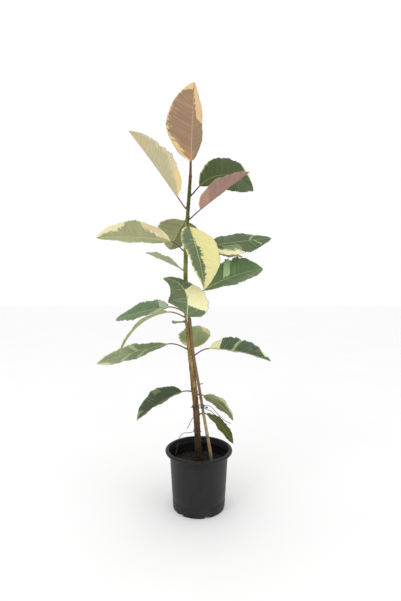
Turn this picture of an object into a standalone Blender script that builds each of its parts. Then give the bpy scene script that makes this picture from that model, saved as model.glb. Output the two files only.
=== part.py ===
"""A variegated rubber plant (Ficus elastica) in a round nursery pot.

One slim stem stands in potting mix and leans gently to the left as it rises. It carries
twenty-one leaves, each one piece with its stalk. A bamboo cane is tied to the foot of the
stem with wire, and a second wire goes from the stem into the pot.

Units are metres and +Z is up. The origin is the centre of the pot's foot, on the floor.
+X is to the right and +Y to the back, away from the side that the plant is seen from.
"""
from collections import namedtuple
from math import cos, pi, radians, sin

import bmesh
import bpy
import numpy as np

GAP = 0.0003                    # clearance between pieces that touch

# Nursery pot: a 200 mm plastic pot with a rolled rim.
POT_HEIGHT = 0.178
FOOT_RADIUS = 0.0778
SHOULDER_RADIUS = 0.0867        # outside of the wall, just under the rim
SHOULDER_HEIGHT = 0.162
RIM_RADIUS = 0.100
MOUTH_RADIUS = 0.0896
WALL = 0.0014
FLOOR = 0.003
POT_SIDES = 56
DRAIN_COUNT = 6
DRAIN_WIDTH = 0.019
DRAIN_HEIGHT = 0.0065
DRAIN_DEPTH = 0.010             # how far a drain slot reaches in from the wall
DRAIN_FIRST_ANGLE = 288.0       # degrees round the pot from +X

# Potting mix: lies 40 mm below the rim, a little higher at the stem.
SOIL_EDGE = 0.134
SOIL_CROWN = 0.139

# Stem: (height, place to the right, radius), from its foot in the mix to its growing tip.
STEM = (
    (0.060, 0.0010, 0.0095),
    (0.125, 0.0010, 0.0103),
    (0.187, -0.0020, 0.0096),
    (0.233, -0.0045, 0.0093),
    (0.289, -0.0078, 0.0091),
    (0.325, -0.0105, 0.0089),
    (0.386, -0.0163, 0.0087),
    (0.458, -0.0237, 0.0084),
    (0.535, -0.0300, 0.0081),
    (0.594, -0.0345, 0.0076),
    (0.652, -0.0373, 0.0066),
    (0.693, -0.0384, 0.0063),
    (0.768, -0.0373, 0.0060),
    (0.853, -0.0330, 0.0055),
    (0.924, -0.0275, 0.0050),
    (0.977, -0.0237, 0.0045),
)
STEM_SIDES = 12
STEM_STEP = 0.030               # length of stem between two rings of its mesh

# Bamboo cane: (across, back, height) of its middle line, and its radius at both ends.
CANE_ROUTE = (
    (0.0500, 0.0130, 0.0500),
    (0.0385, 0.0100, 0.1380),
    (0.0170, 0.0040, 0.2640),
    (-0.0005, -0.0040, 0.3730),
    (-0.0150, -0.0110, 0.4650),
    (-0.0257, -0.0125, 0.5720),
)
CANE_FOOT_RADIUS = 0.0052
CANE_TOP_RADIUS = 0.0035

WIRE_RADIUS = 0.0009

# Leaves. height: where the stalk leaves the stem. heading: the way it points, in degrees,
# with 0 to the right, 90 to the back, 180 to the left and 270 to the front. rise: how
# steeply the stalk leaves. pitch: how steeply the blade starts, and droop how far that has
# fallen at its tip. veer: how far the heading turns on the way to the tip. roll: the turn
# about the midrib, positive with the right-hand edge up as one looks from the stem to the
# tip. fold: how far each half is lifted from flat. belly: under 1 the blade is widest before
# its middle, over 1 past it.
Leaf = namedtuple(
    "Leaf", "name height heading stalk rise length width pitch droop veer roll fold belly")
LEAVES = (
    #    name                     height head stalk rise length width pitch droop veer roll fold belly
    Leaf("leaf_top",               .977, 310, .042,  88, .213, .146,  88,   5,    0,   0,  26,  .92),
    Leaf("leaf_upper_left",        .885, 185, .040,  55, .225, .125,  55,   4,    0, -18,  35,  .80),
    Leaf("leaf_upper_right_back",  .922,  28, .038,  48, .210, .128,  46,  92,    0, -60,   5, 1.20),
    Leaf("leaf_upper_right_front", .855, 345, .040,  42, .172, .085,  36,   2,    0,  20,  35,  .80),
    Leaf("leaf_left_cream",        .765, 185, .045,  50, .212, .106,  11,  17,    0, -35,  20,  .95),
    Leaf("leaf_back_upper",        .852, 108, .020,  10, .190, .125, -15,  20,    0, -15,   5,  .80),
    Leaf("leaf_front_hanging",     .840, 288, .020, -10, .195, .134, -45,  40,   34,   7,  20, 1.00),
    Leaf("leaf_right_upper",       .757,  10, .060,  25, .195, .100,  10,   5,    0, -38,  -8,  .80),
    Leaf("leaf_right_behind",      .764,  34, .024,  10, .182, .080,   0,  11,    0, -24,   5,  .80),
    Leaf("leaf_right_middle",      .622,  12, .050,  35, .195, .116,  30,  22,    0, -40,  24, 1.15),
    Leaf("leaf_left_small",        .709, 165, .012,  45, .115, .066,  24,   3,    0, -22,  15,  .80),
    Leaf("leaf_front_middle",      .563, 270, .046,   5, .152, .120,  60, -122,  115, -142, -22,  .55),
    Leaf("leaf_left_arching",      .573, 198, .052,  30, .200, .092,  -5,  72,    0, -14,   9,  .80),
    Leaf("leaf_left_back",         .586, 152, .055,  25, .208, .098,  -9,  10,    0,  30,  10,  .95),
    Leaf("leaf_left_long",         .478, 185, .058,  30, .215, .086, -12,   6,    0,  20,   5, 1.20),
    Leaf("leaf_back_small",        .552, 115, .020,  10, .085, .045,  -5,  10,    0,   0,  15,  .80),
    Leaf("leaf_back_lower",        .468,  82, .020,  20, .145, .100,  25,  10,    0,   0,  10,  .80),
    Leaf("leaf_right_long",        .458, 355, .050,  40, .185, .100,   0,  22,    0, -16,  27,  .80),
    Leaf("leaf_low_left",          .352, 190, .026,  10, .158, .110, -18,  25,    0,   9,  24,  .90),
    Leaf("leaf_low_right",         .343, 325, .024,  10, .115, .052,  -8,  50,   20,  -8,  10,  .80),
    Leaf("leaf_low_drooping",      .280,  30, .026,   5, .128, .042, -34,  28,  -60, -30,   5,  .85),
)
STALK_RADIUS = 0.0021
TOP_STALK_RADIUS = 0.0040       # the youngest leaf's stalk is as thick as the stem's tip
BLADE_THICKNESS = 0.0012
TIP_HALF_WIDTH = 0.0006
STALK_RINGS = 5
BLADE_RINGS = 13
STEEP = 80.0                    # a stalk that rises more steeply stands on the stem's tip


# ---------------------------------------------------------------- shared helpers

def clear_scene():
    """Take away every object, so that the part starts from an empty scene."""
    for thing in list(bpy.data.objects):
        bpy.data.objects.remove(thing, do_unlink=True)


def make_material(name, color, roughness, metallic=0.0):
    """A plain Principled material."""
    material = bpy.data.materials.new(name)
    material.use_nodes = True
    shader = material.node_tree.nodes["Principled BSDF"]
    shader.inputs["Base Color"].default_value = (*color, 1.0)
    shader.inputs["Roughness"].default_value = roughness
    shader.inputs["Metallic"].default_value = metallic
    return material


def add_object(name, mesh, material):
    """Put a mesh in the scene under its node's name."""
    thing = bpy.data.objects.new(name, mesh)
    bpy.context.scene.collection.objects.link(thing)
    mesh.materials.append(material)
    return thing


def skin_rings(name, rings):
    """Join a row of closed rings, with equal numbers of points, and cap both ends."""
    bm = bmesh.new()
    loops = [[bm.verts.new(tuple(point)) for point in ring] for ring in rings]
    count = len(rings[0])
    for low, high in zip(loops, loops[1:]):
        for i in range(count):
            j = (i + 1) % count
            bm.faces.new((low[i], low[j], high[j], high[i]))
    for loop in (loops[0], loops[-1]):
        bm.faces.new(loop)
    bmesh.ops.recalc_face_normals(bm, faces=bm.faces)
    bmesh.ops.triangulate(bm, faces=bm.faces)
    mesh = bpy.data.meshes.new(name)
    bm.to_mesh(mesh)
    bm.free()
    mesh.shade_smooth()
    return mesh


def smooth_route(points, per_span):
    """Points of a smooth curve (Catmull-Rom) through the route's own points."""
    points = np.array(points, float)
    ends = (2 * points[0] - points[1], 2 * points[-1] - points[-2])
    padded = np.vstack((ends[0], points, ends[1]))
    route = []
    for k in range(1, len(padded) - 2):
        a, b, c, d = padded[k - 1:k + 3]
        for step in range(per_span):
            t = step / per_span
            route.append(0.5 * (2 * b + (c - a) * t + (2 * a - 5 * b + 4 * c - d) * t ** 2
                                + (3 * b - a - 3 * c + d) * t ** 3))
    route.append(points[-1])
    return np.array(route)


def tube_curve(name, route, radius, sides_factor, material):
    """A round rod or wire as a bevelled curve with closed ends."""
    curve = bpy.data.curves.new(name, "CURVE")
    curve.dimensions = "3D"
    curve.bevel_depth = radius
    curve.bevel_resolution = sides_factor
    curve.use_fill_caps = True
    spline = curve.splines.new("POLY")
    spline.points.add(len(route) - 1)
    for point, place in zip(spline.points, route):
        point.co = (*place, 1.0)
    thing = bpy.data.objects.new(name, curve)
    bpy.context.scene.collection.objects.link(thing)
    curve.materials.append(material)
    return thing


def round_ring(centre, tangent, radius, sides):
    """A level-ended ring of points round a middle line."""
    tangent = tangent / np.linalg.norm(tangent)
    across = np.cross(tangent, (0.0, 1.0, 0.0))
    across /= np.linalg.norm(across)
    back = np.cross(tangent, across)
    turns = [2 * pi * k / sides for k in range(sides)]
    return [centre + radius * (cos(a) * across + sin(a) * back) for a in turns]


# ---------------------------------------------------------------- pot and mix

def wall_radius(height):
    """Outside radius of the pot's wall below the rim."""
    return FOOT_RADIUS + (SHOULDER_RADIUS - FOOT_RADIUS) * height / SHOULDER_HEIGHT


def spin_profile(name, profile, sides, material):
    """Turn a profile of (radius, height) points about the upright axis."""
    bm = bmesh.new()
    rings = []
    for radius, height in profile:
        if radius == 0.0:
            rings.append([bm.verts.new((0.0, 0.0, height))])
            continue
        turns = [2 * pi * k / sides for k in range(sides)]
        rings.append([bm.verts.new((radius * cos(a), radius * sin(a), height)) for a in turns])
    for low, high in zip(rings, rings[1:]):
        for i in range(sides):
            j = (i + 1) % sides
            corners = {low[i % len(low)]: 0, low[j % len(low)]: 0,
                       high[j % len(high)]: 0, high[i % len(high)]: 0}
            bm.faces.new(tuple(corners))
    bmesh.ops.recalc_face_normals(bm, faces=bm.faces)
    mesh = bpy.data.meshes.new(name)
    bm.to_mesh(mesh)
    bm.free()
    mesh.shade_smooth()
    mesh.set_sharp_from_angle(angle=radians(40))
    return add_object(name, mesh, material)


def add_cutter(target, cutter):
    """Cut one object out of another and keep the cutter as a guide."""
    cutter.hide_render = True
    cutter.display_type = "WIRE"
    cut = target.modifiers.new(cutter.name, "BOOLEAN")
    cut.operation = "DIFFERENCE"
    cut.object = cutter


def rim_section():
    """The rolled rim: down the outside of the roll to the mouth, over its top."""
    roll = 0.0052                                   # radius of the roll
    centre_r = RIM_RADIUS - roll
    centre_z = POT_HEIGHT - roll
    section = [(SHOULDER_RADIUS, SHOULDER_HEIGHT), (SHOULDER_RADIUS + 0.004, 0.1655)]
    for degrees in (-75, -35, 0, 35, 65, 90):
        a = radians(degrees)
        section.append((centre_r + roll * cos(a), centre_z + roll * sin(a)))
    section.append((MOUTH_RADIUS + 0.0014, POT_HEIGHT - 0.0006))
    section.append((MOUTH_RADIUS, POT_HEIGHT - 0.0030))
    section.append((MOUTH_RADIUS - 0.0008, 0.1690))
    section.append((SHOULDER_RADIUS - WALL, SHOULDER_HEIGHT))
    return section


def build_pot():
    """The pot: foot, wall, rolled rim and the drain slots at the foot."""
    plastic = make_material("nursery_plastic", (0.028, 0.030, 0.033), 0.5)
    profile = [(0.0, 0.0), (FOOT_RADIUS - 0.002, 0.0), (FOOT_RADIUS, 0.002)]
    profile += rim_section()
    profile += [(FOOT_RADIUS - WALL, FLOOR), (0.0, FLOOR)]
    pot = spin_profile("nursery_pot", profile, POT_SIDES, plastic)
    for k in range(DRAIN_COUNT):
        angle = radians(DRAIN_FIRST_ANGLE + k * 360 / DRAIN_COUNT)
        middle = FOOT_RADIUS - DRAIN_DEPTH / 2 + 0.003
        bpy.ops.mesh.primitive_cube_add(size=1.0)
        slot = bpy.context.object
        slot.name = f"drain_cutter_{k + 1}"
        slot.scale = (DRAIN_DEPTH + 0.006, DRAIN_WIDTH, DRAIN_HEIGHT + 0.002)
        slot.location = (middle * cos(angle), middle * sin(angle), DRAIN_HEIGHT / 2 - 0.001)
        slot.rotation_euler = (0.0, 0.0, angle)
        add_cutter(pot, slot)


def build_mix():
    """The potting mix: a plug that fills the pot, with sockets for the stem and the cane."""
    earth = make_material("potting_mix", (0.045, 0.028, 0.018), 0.95)
    foot = FOOT_RADIUS - WALL - 2 * GAP
    edge = wall_radius(SOIL_EDGE) - WALL - 2 * GAP
    profile = [(0.0, FLOOR + GAP), (foot, FLOOR + GAP), (edge, SOIL_EDGE)]
    profile += [(0.055, SOIL_EDGE + 0.002), (0.024, SOIL_CROWN - 0.001), (0.0, SOIL_CROWN)]
    mix = spin_profile("potting_mix", profile, 40, earth)
    sunk = [row for row in STEM if row[0] < 0.2]
    sockets = (
        ("stem_socket", [(x, 0.0, z) for z, x, r in sunk], max(r for z, x, r in sunk)),
        ("cane_socket", CANE_ROUTE[:3], CANE_FOOT_RADIUS),
    )
    for name, route, radius in sockets:
        start = np.array(route[0]) - 0.0006 * np.array((0.0, 0.0, 1.0))
        rings = []
        path = [start] + [np.array(p) for p in route[1:]]
        for k, place in enumerate(path):
            tangent = path[min(k + 1, len(path) - 1)] - path[max(k - 1, 0)]
            rings.append(round_ring(place, tangent, radius + 2.5 * GAP, 16))
        cutter = add_object(name, skin_rings(name, rings), earth)
        add_cutter(mix, cutter)


# ---------------------------------------------------------------- stem, cane and wires

def stem_at(height):
    """Middle of the stem and its radius at a height."""
    heights = [row[0] for row in STEM]
    x = np.interp(height, heights, [row[1] for row in STEM])
    radius = np.interp(height, heights, [row[2] for row in STEM])
    return np.array((x, 0.0, height)), radius


def build_stem():
    """The stem, from its foot in the mix to the growing tip."""
    bark = make_material("bark", (0.16, 0.075, 0.035), 0.8)
    low = STEM[0][0]
    high = STEM[-1][0]
    count = round((high - low) / STEM_STEP)
    rings = []
    for k in range(count + 1):
        height = low + (high - low) * k / count
        centre, radius = stem_at(height)
        above = stem_at(min(height + 0.01, high))[0]
        below = stem_at(max(height - 0.01, low))[0]
        rings.append(round_ring(centre, above - below, radius, STEM_SIDES))
    add_object("stem", skin_rings("stem", rings), bark)


def build_cane():
    """The bamboo cane, thicker at its foot."""
    bamboo = make_material("bamboo", (0.42, 0.28, 0.13), 0.6)
    route = smooth_route(CANE_ROUTE, 4)
    rings = []
    for k, place in enumerate(route):
        share = k / (len(route) - 1)
        radius = CANE_FOOT_RADIUS + (CANE_TOP_RADIUS - CANE_FOOT_RADIUS) * share
        tangent = route[min(k + 1, len(route) - 1)] - route[max(k - 1, 0)]
        rings.append(round_ring(place, tangent, radius, 10))
    add_object("bamboo_cane", skin_rings("bamboo_cane", rings), bamboo)


def cane_at(height):
    """Middle of the cane at a height."""
    route = smooth_route(CANE_ROUTE, 8)
    x = np.interp(height, route[:, 2], route[:, 0])
    y = np.interp(height, route[:, 2], route[:, 1])
    return np.array((x, y, height))


def loop_round_both(low, high, first, last, step):
    """A wire wound round the stem and the cane together, climbing from low to high."""
    spare = WIRE_RADIUS + 0.0009
    count = round(abs(last - first) / step)
    route = []
    for k in range(count + 1):
        degrees = first + (last - first) * k / count
        height = low + (high - low) * k / count
        stem, stem_radius = stem_at(height)
        cane = cane_at(height)
        a = radians(degrees)
        direction = np.array((cos(a), sin(a), 0.0))
        # The support line of the two discs: the farther of the two in this direction.
        cane_first = np.dot(cane - stem, direction) + CANE_FOOT_RADIUS > stem_radius
        centre = cane if cane_first else stem
        reach = (CANE_FOOT_RADIUS if cane_first else stem_radius) + spare
        route.append(centre + reach * direction)
    return route


def build_wires():
    """The tie round stem and cane with its two loose ends, and the wire down into the pot."""
    steel = make_material("tie_wire", (0.05, 0.05, 0.06), 0.45, 0.8)
    first_end = [
        (0.0930, -0.0300, 0.2640),
        (0.0760, -0.0290, 0.2730),
        (0.0560, -0.0260, 0.2900),
        (0.0440, -0.0230, 0.3040),
        (0.0320, -0.0190, 0.3130),
        (0.0210, -0.0130, 0.3120),
    ]
    second_end = [
        (0.0240, -0.0130, 0.3000),
        (0.0340, -0.0180, 0.2980),
        (0.0480, -0.0230, 0.2880),
        (0.0660, -0.0270, 0.2720),
        (0.0830, -0.0290, 0.2600),
    ]
    winding = loop_round_both(0.3095, 0.3025, -40.0, 680.0, 24.0)
    route = smooth_route(first_end + [tuple(p) for p in winding] + second_end, 1)
    tube_curve("tie_wire", route, WIRE_RADIUS, 2, steel)

    low_end = [
        (-0.0190, 0.0090, 0.2240),
        (-0.0330, 0.0180, 0.2180),
        (-0.0470, 0.0300, 0.2120),
        (-0.0600, 0.0400, 0.1950),
        (-0.0640, 0.0380, 0.1780),
        (-0.0680, 0.0300, 0.1600),
        (-0.0720, 0.0220, 0.1460),
    ]
    spare = WIRE_RADIUS + 0.0009
    winding = []
    for k in range(15):
        degrees = 130.0 - 24.0 * k
        height = 0.2260 + 0.0005 * k
        centre, radius = stem_at(height)
        a = radians(degrees)
        winding.append(centre + (radius + spare) * np.array((cos(a), sin(a), 0.0)))
    route = smooth_route([tuple(p) for p in reversed(winding)] + low_end, 2)
    tube_curve("pot_wire", route, WIRE_RADIUS, 2, steel)


# ---------------------------------------------------------------- leaves

def leaf_frame(heading, pitch, roll):
    """Directions of a leaf at one place: along it, to its right and out of its top."""
    h, e, r = radians(heading), radians(pitch), radians(roll)
    along = np.array((cos(e) * cos(h), cos(e) * sin(h), sin(e)))
    right = np.array((sin(h), -cos(h), 0.0))
    top = np.cross(right, along)
    return along, cos(r) * right + sin(r) * top, cos(r) * top - sin(r) * right


def blade_half_width(share, width, belly):
    """Half the blade's width at a share of its length: a full oval with a short point."""
    return max(TIP_HALF_WIDTH, width / 2 * sin(pi * share ** belly) ** 0.72)


def stalk_ring(place, right, top, radius):
    """Eight points round the stalk, in the blade's order."""
    turns = [pi / 4 * k for k in range(8)]
    return [place + radius * (cos(a) * right + sin(a) * top) for a in turns]


def blade_ring(place, right, top, half, fold, rib):
    """Eight points round the blade: edge, top side, edge, underside with its midrib."""
    lift = sin(radians(fold))
    reach = cos(radians(fold))
    skin = min(BLADE_THICKNESS / 2, half / 2)
    layout = ((1.0, 0.0), (0.5, skin), (0.0, skin), (-0.5, skin),
              (-1.0, 0.0), (-0.5, -skin), (0.0, -skin - rib), (0.5, -skin))
    ring = []
    for share, height in layout:
        out = half * share
        bow = 0.04 * half * (1 - (2 * abs(share) - 1) ** 2) * (1 if half > 0.004 else 0)
        ring.append(place + out * reach * right + (abs(out) * lift + height + bow) * top)
    return ring


def build_leaf(leaf, skin):
    """One leaf: its stalk runs into the midrib of a folded, curving blade."""
    centre, stem_radius = stem_at(leaf.height)
    radius = STALK_RADIUS
    if leaf.rise > STEEP:
        radius = TOP_STALK_RADIUS
        place = centre + np.array((0.0, 0.0, GAP))
    else:
        away = np.array((cos(radians(leaf.heading)), sin(radians(leaf.heading)), 0.0))
        tilt = abs(sin(radians(leaf.rise)))
        place = centre + away * (stem_radius + 1.5 * GAP + radius * tilt)
    rings = []
    for k in range(STALK_RINGS + 1):
        share = k / STALK_RINGS
        pitch = leaf.rise + (leaf.pitch - leaf.rise) * share ** 1.5
        along, right, top = leaf_frame(leaf.heading, pitch, leaf.roll * share)
        thick = radius * (1.0 - 0.25 * share)
        rings.append(stalk_ring(place, right, top, thick))
        if k < STALK_RINGS:
            place = place + along * leaf.stalk / STALK_RINGS
    for k in range(1, BLADE_RINGS + 1):
        share = k / BLADE_RINGS
        middle = (k - 0.5) / BLADE_RINGS
        along = leaf_frame(leaf.heading + leaf.veer * middle,
                           leaf.pitch - leaf.droop * middle, 0.0)[0]
        place = place + along * leaf.length / BLADE_RINGS
        right, top = leaf_frame(leaf.heading + leaf.veer * share,
                                leaf.pitch - leaf.droop * share, leaf.roll)[1:]
        half = blade_half_width(share, leaf.width, leaf.belly)
        rib = 0.7 * radius * (1.0 - share)
        rings.append(blade_ring(place, right, top, half, leaf.fold, rib))
    add_object(leaf.name, skin_rings(leaf.name, rings), skin)


def build_leaves():
    """All the leaves, lowest last, in one leaf skin."""
    skin = make_material("leaf_skin", (0.12, 0.20, 0.09), 0.4)
    for leaf in LEAVES:
        build_leaf(leaf, skin)


clear_scene()
build_pot()
build_mix()
build_stem()
build_cane()
build_wires()
build_leaves()
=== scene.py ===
"""Looks for a variegated rubber plant in a nursery pot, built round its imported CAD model.

Every leaf, the stem, the cane, the wires, the potting mix and the pot are made again here
in fine detail, in the places that the CAD model gives them. Lengths are metres, +Z is up.
"""
import logging
import math
from dataclasses import dataclass
from enum import Enum
from typing import Any, Iterable, Sequence

import bmesh
import bpy
import numpy as np
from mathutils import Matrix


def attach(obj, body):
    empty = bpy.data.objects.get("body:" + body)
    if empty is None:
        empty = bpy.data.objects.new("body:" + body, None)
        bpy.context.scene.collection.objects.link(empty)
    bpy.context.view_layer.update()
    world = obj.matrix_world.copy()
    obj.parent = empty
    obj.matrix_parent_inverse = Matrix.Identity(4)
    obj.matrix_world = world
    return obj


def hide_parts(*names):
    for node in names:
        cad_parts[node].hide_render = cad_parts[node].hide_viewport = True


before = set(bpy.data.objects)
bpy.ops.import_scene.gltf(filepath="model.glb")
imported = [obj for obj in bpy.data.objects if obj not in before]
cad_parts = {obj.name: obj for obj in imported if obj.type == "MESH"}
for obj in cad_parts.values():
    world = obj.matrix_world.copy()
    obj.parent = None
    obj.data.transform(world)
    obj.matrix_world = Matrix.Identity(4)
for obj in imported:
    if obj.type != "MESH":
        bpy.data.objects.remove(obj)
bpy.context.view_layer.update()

log = logging.getLogger("rubber_plant")

Tone = tuple[int, int, int]
Stops = tuple[tuple[float, float], ...]
Point = tuple[float, float, float]


# ------------------------------------------------------------------ colour and shader maths

def linear(tone: Tone) -> tuple[float, float, float, float]:
    """Turn a display colour, 0 to 255, into the linear colour that shaders use.

    Args:
        tone: Red, green and blue from 0 to 255.

    Returns:
        Linear red, green, blue and an alpha of one.
    """
    shares = [channel / 255 for channel in tone]
    flat = [s / 12.92 if s <= 0.04045 else ((s + 0.055) / 1.055) ** 2.4 for s in shares]
    return (flat[0], flat[1], flat[2], 1.0)


class Value:
    """A shader socket on which plain arithmetic adds Math nodes."""

    def __init__(self, graph: "Graph", socket: bpy.types.NodeSocket) -> None:
        """Keep the socket and the graph that it belongs to."""
        self.graph = graph
        self.socket = socket

    def __add__(self, other: Any) -> "Value":
        """Sum of two values."""
        return self.graph.math("ADD", self, other)

    def __sub__(self, other: Any) -> "Value":
        """This value less another."""
        return self.graph.math("SUBTRACT", self, other)

    def __rsub__(self, other: Any) -> "Value":
        """Another value less this one."""
        return self.graph.math("SUBTRACT", other, self)

    def __mul__(self, other: Any) -> "Value":
        """Product of two values."""
        return self.graph.math("MULTIPLY", self, other)

    def __truediv__(self, other: Any) -> "Value":
        """This value divided by another."""
        return self.graph.math("DIVIDE", self, other)

    def __abs__(self) -> "Value":
        """Size of the value without its sign."""
        return self.graph.math("ABSOLUTE", self)

    def __gt__(self, other: Any) -> "Value":
        """One where this value is the greater, else nought."""
        return self.graph.math("GREATER_THAN", self, other)

    __radd__ = __add__
    __rmul__ = __mul__


class Graph:
    """A material's node tree, with one method that adds any node."""

    def __init__(self, name: str) -> None:
        """Start a material that holds only its Principled shader."""
        self.material = bpy.data.materials.new(name)
        self.material.use_nodes = True
        self.tree = self.material.node_tree
        self.shader = self.tree.nodes["Principled BSDF"]

    def node(self, kind: str, settings: dict | None = None, inputs: dict | None = None,
             output: int | str = 0) -> Value:
        """Add a node.

        Args:
            kind: The node's type name.
            settings: Attributes set first; "stops" fills a colour ramp.
            inputs: Sockets, by name or number, with the numbers or Values they take.
            output: The output that the returned Value stands for.

        Returns:
            The chosen output as a Value.
        """
        node = self.tree.nodes.new(kind)
        for key, setting in (settings or {}).items():
            if key == "stops":
                self.fill_ramp(node.color_ramp, setting)
            else:
                setattr(node, key, setting)
        for key, value in (inputs or {}).items():
            self.feed(node.inputs[key], value)
        return Value(self, node.outputs[output])

    @staticmethod
    def fill_ramp(ramp: bpy.types.ColorRamp, stops: Sequence[tuple[float, Any]]) -> None:
        """Give a ramp its stops, each a place and a number or linear colour."""
        while len(ramp.elements) < len(stops):
            ramp.elements.new(0.5)
        for element, (place, colour) in zip(ramp.elements, stops):
            element.position = place
            grey = isinstance(colour, (int, float))
            element.color = (colour, colour, colour, 1.0) if grey else colour

    def feed(self, socket: bpy.types.NodeSocket, value: Any) -> None:
        """Link a Value to a socket, or set a plain number or colour on it."""
        if isinstance(value, Value):
            self.tree.links.new(value.socket, socket)
        else:
            socket.default_value = value

    def math(self, operation: str, *values: Any) -> Value:
        """A Math node over the given values."""
        return self.node("ShaderNodeMath", {"operation": operation}, dict(enumerate(values)))

    def attribute(self, name: str) -> Value:
        """A number stored on the mesh."""
        return self.node("ShaderNodeAttribute", {"attribute_name": name}, output="Fac")

    def place(self) -> Value:
        """Object coordinates."""
        return self.node("ShaderNodeTexCoord", output="Object")

    def axes(self, vector: Value) -> list[Value]:
        """The three parts of a vector."""
        node = self.tree.nodes.new("ShaderNodeSeparateXYZ")
        self.feed(node.inputs[0], vector)
        return [Value(self, socket) for socket in node.outputs]

    def vector(self, x: Any, y: Any, z: Any) -> Value:
        """A vector from three numbers or Values."""
        return self.node("ShaderNodeCombineXYZ", None, {0: x, 1: y, 2: z})

    def noise(self, vector: Value, scale: float, detail: float = 2.0,
              roughness: float = 0.5) -> Value:
        """Smooth noise from nought to one."""
        return self.node("ShaderNodeTexNoise", None,
                         {"Vector": vector, "Scale": scale, "Detail": detail,
                          "Roughness": roughness})

    def soft_step(self, value: Any, low: float, high: float) -> Value:
        """Ease from nought at low to one at high; low may be the greater."""
        if low > high:
            return 1.0 - self.soft_step(value, high, low)
        return self.node("ShaderNodeMapRange", {"interpolation_type": "SMOOTHSTEP"},
                         {"Value": value, "From Min": low, "From Max": high})

    def follow(self, value: Value, stops: Stops, top: float) -> Value:
        """A number that follows stops along a value, scaled up from a ramp by top."""
        scaled = [(place, level / top) for place, level in stops]
        return self.node("ShaderNodeValToRGB", {"stops": scaled}, {0: value}) * top

    def mix(self, share: Any, first: Any, second: Any, way: str = "MIX") -> Value:
        """Blend two colours.

        Args:
            share: How much of the second, from nought to one.
            first: A Value or a linear colour.
            second: A Value or a linear colour.
            way: The blend type.

        Returns:
            The blended colour.
        """
        return self.node("ShaderNodeMix", {"data_type": "RGBA", "blend_type": way},
                         {0: share, 6: first, 7: second}, output=2)

    def shade(self, colour: Value, level: Value) -> Value:
        """Make a colour darker or lighter by a factor about one."""
        grey = self.vector(level, level, level)
        return self.mix(1.0, colour, grey, "MULTIPLY")

    def bump(self, height: Value, depth: float, strength: float = 1.0) -> Value:
        """A bump normal from a height of nought to one and its depth in metres."""
        return self.node("ShaderNodeBump", None,
                         {"Height": height, "Distance": depth, "Strength": strength})

    def finish(self, colour: Any, roughness: Any, normal: Value | None = None,
               **constants: float) -> bpy.types.Material:
        """Feed the shader and hand over the material.

        Args:
            colour: Base colour.
            roughness: Roughness.
            normal: Normal, where there is relief.
            constants: Other shader sockets, with underscores for spaces.

        Returns:
            The finished material.
        """
        self.feed(self.shader.inputs["Base Color"], colour)
        self.feed(self.shader.inputs["Roughness"], roughness)
        if normal is not None:
            self.feed(self.shader.inputs["Normal"], normal)
        for name, number in constants.items():
            self.shader.inputs[name.replace("_", " ")].default_value = number
        return self.material


# ------------------------------------------------------------------ geometry node recipes

class Recipe:
    """A geometry node tree with named inputs."""

    def __init__(self, name: str, inputs: dict[str, str]) -> None:
        """Start a tree.

        Args:
            name: The tree's name.
            inputs: Each input's name and socket type.
        """
        self.tree = bpy.data.node_groups.new(name, "GeometryNodeTree")
        face = self.tree.interface
        face.new_socket("Geometry", in_out="INPUT", socket_type="NodeSocketGeometry")
        face.new_socket("Geometry", in_out="OUTPUT", socket_type="NodeSocketGeometry")
        self.keys = {}
        for label, kind in inputs.items():
            item = face.new_socket(label, in_out="INPUT", socket_type=kind)
            self.keys[label] = item.identifier
        self.entry = self.tree.nodes.new("NodeGroupInput")
        self.exit = self.tree.nodes.new("NodeGroupOutput")

    def node(self, kind: str, settings: dict | None = None,
             inputs: dict | None = None) -> bpy.types.Node:
        """Add a node with its settings, and with numbers or sockets on its inputs."""
        node = self.tree.nodes.new(kind)
        for key, setting in (settings or {}).items():
            setattr(node, key, setting)
        for key, value in (inputs or {}).items():
            if isinstance(value, bpy.types.NodeSocket):
                self.tree.links.new(value, node.inputs[key])
            else:
                node.inputs[key].default_value = value
        return node

    def given(self, label: str) -> bpy.types.NodeSocket:
        """The socket of a named input."""
        return self.entry.outputs[label]

    def close(self, geometry: bpy.types.NodeSocket) -> None:
        """End the tree with realised instances in their material."""
        real = self.node("GeometryNodeRealizeInstances", None, {"Geometry": geometry})
        dressed = self.node("GeometryNodeSetMaterial", None,
                            {"Geometry": real.outputs[0], "Material": self.given("Finish")})
        self.tree.links.new(dressed.outputs[0], self.exit.inputs[0])

    def make(self, name: str, host: bpy.types.Mesh, values: dict[str, Any]) -> bpy.types.Object:
        """Run the tree on a host mesh and keep the result as a plain mesh.

        Args:
            name: Name of the new piece.
            host: The mesh that the tree works on.
            values: The named inputs' values.

        Returns:
            The new piece.
        """
        piece = bpy.data.objects.new(name, host)
        bpy.context.scene.collection.objects.link(piece)
        modifier = piece.modifiers.new("recipe", "NODES")
        modifier.node_group = self.tree
        for label, value in values.items():
            modifier[self.keys[label]] = value
        made = evaluated_mesh(piece, name)
        piece.modifiers.remove(modifier)
        piece.data = made
        bpy.data.meshes.remove(host)
        return piece


def evaluated_mesh(piece: bpy.types.Object, name: str) -> bpy.types.Mesh:
    """The piece's mesh with its modifiers worked out, as a new mesh."""
    graph = bpy.context.evaluated_depsgraph_get()
    mesh = bpy.data.meshes.new_from_object(piece.evaluated_get(graph))
    mesh.name = name
    return mesh


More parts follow.
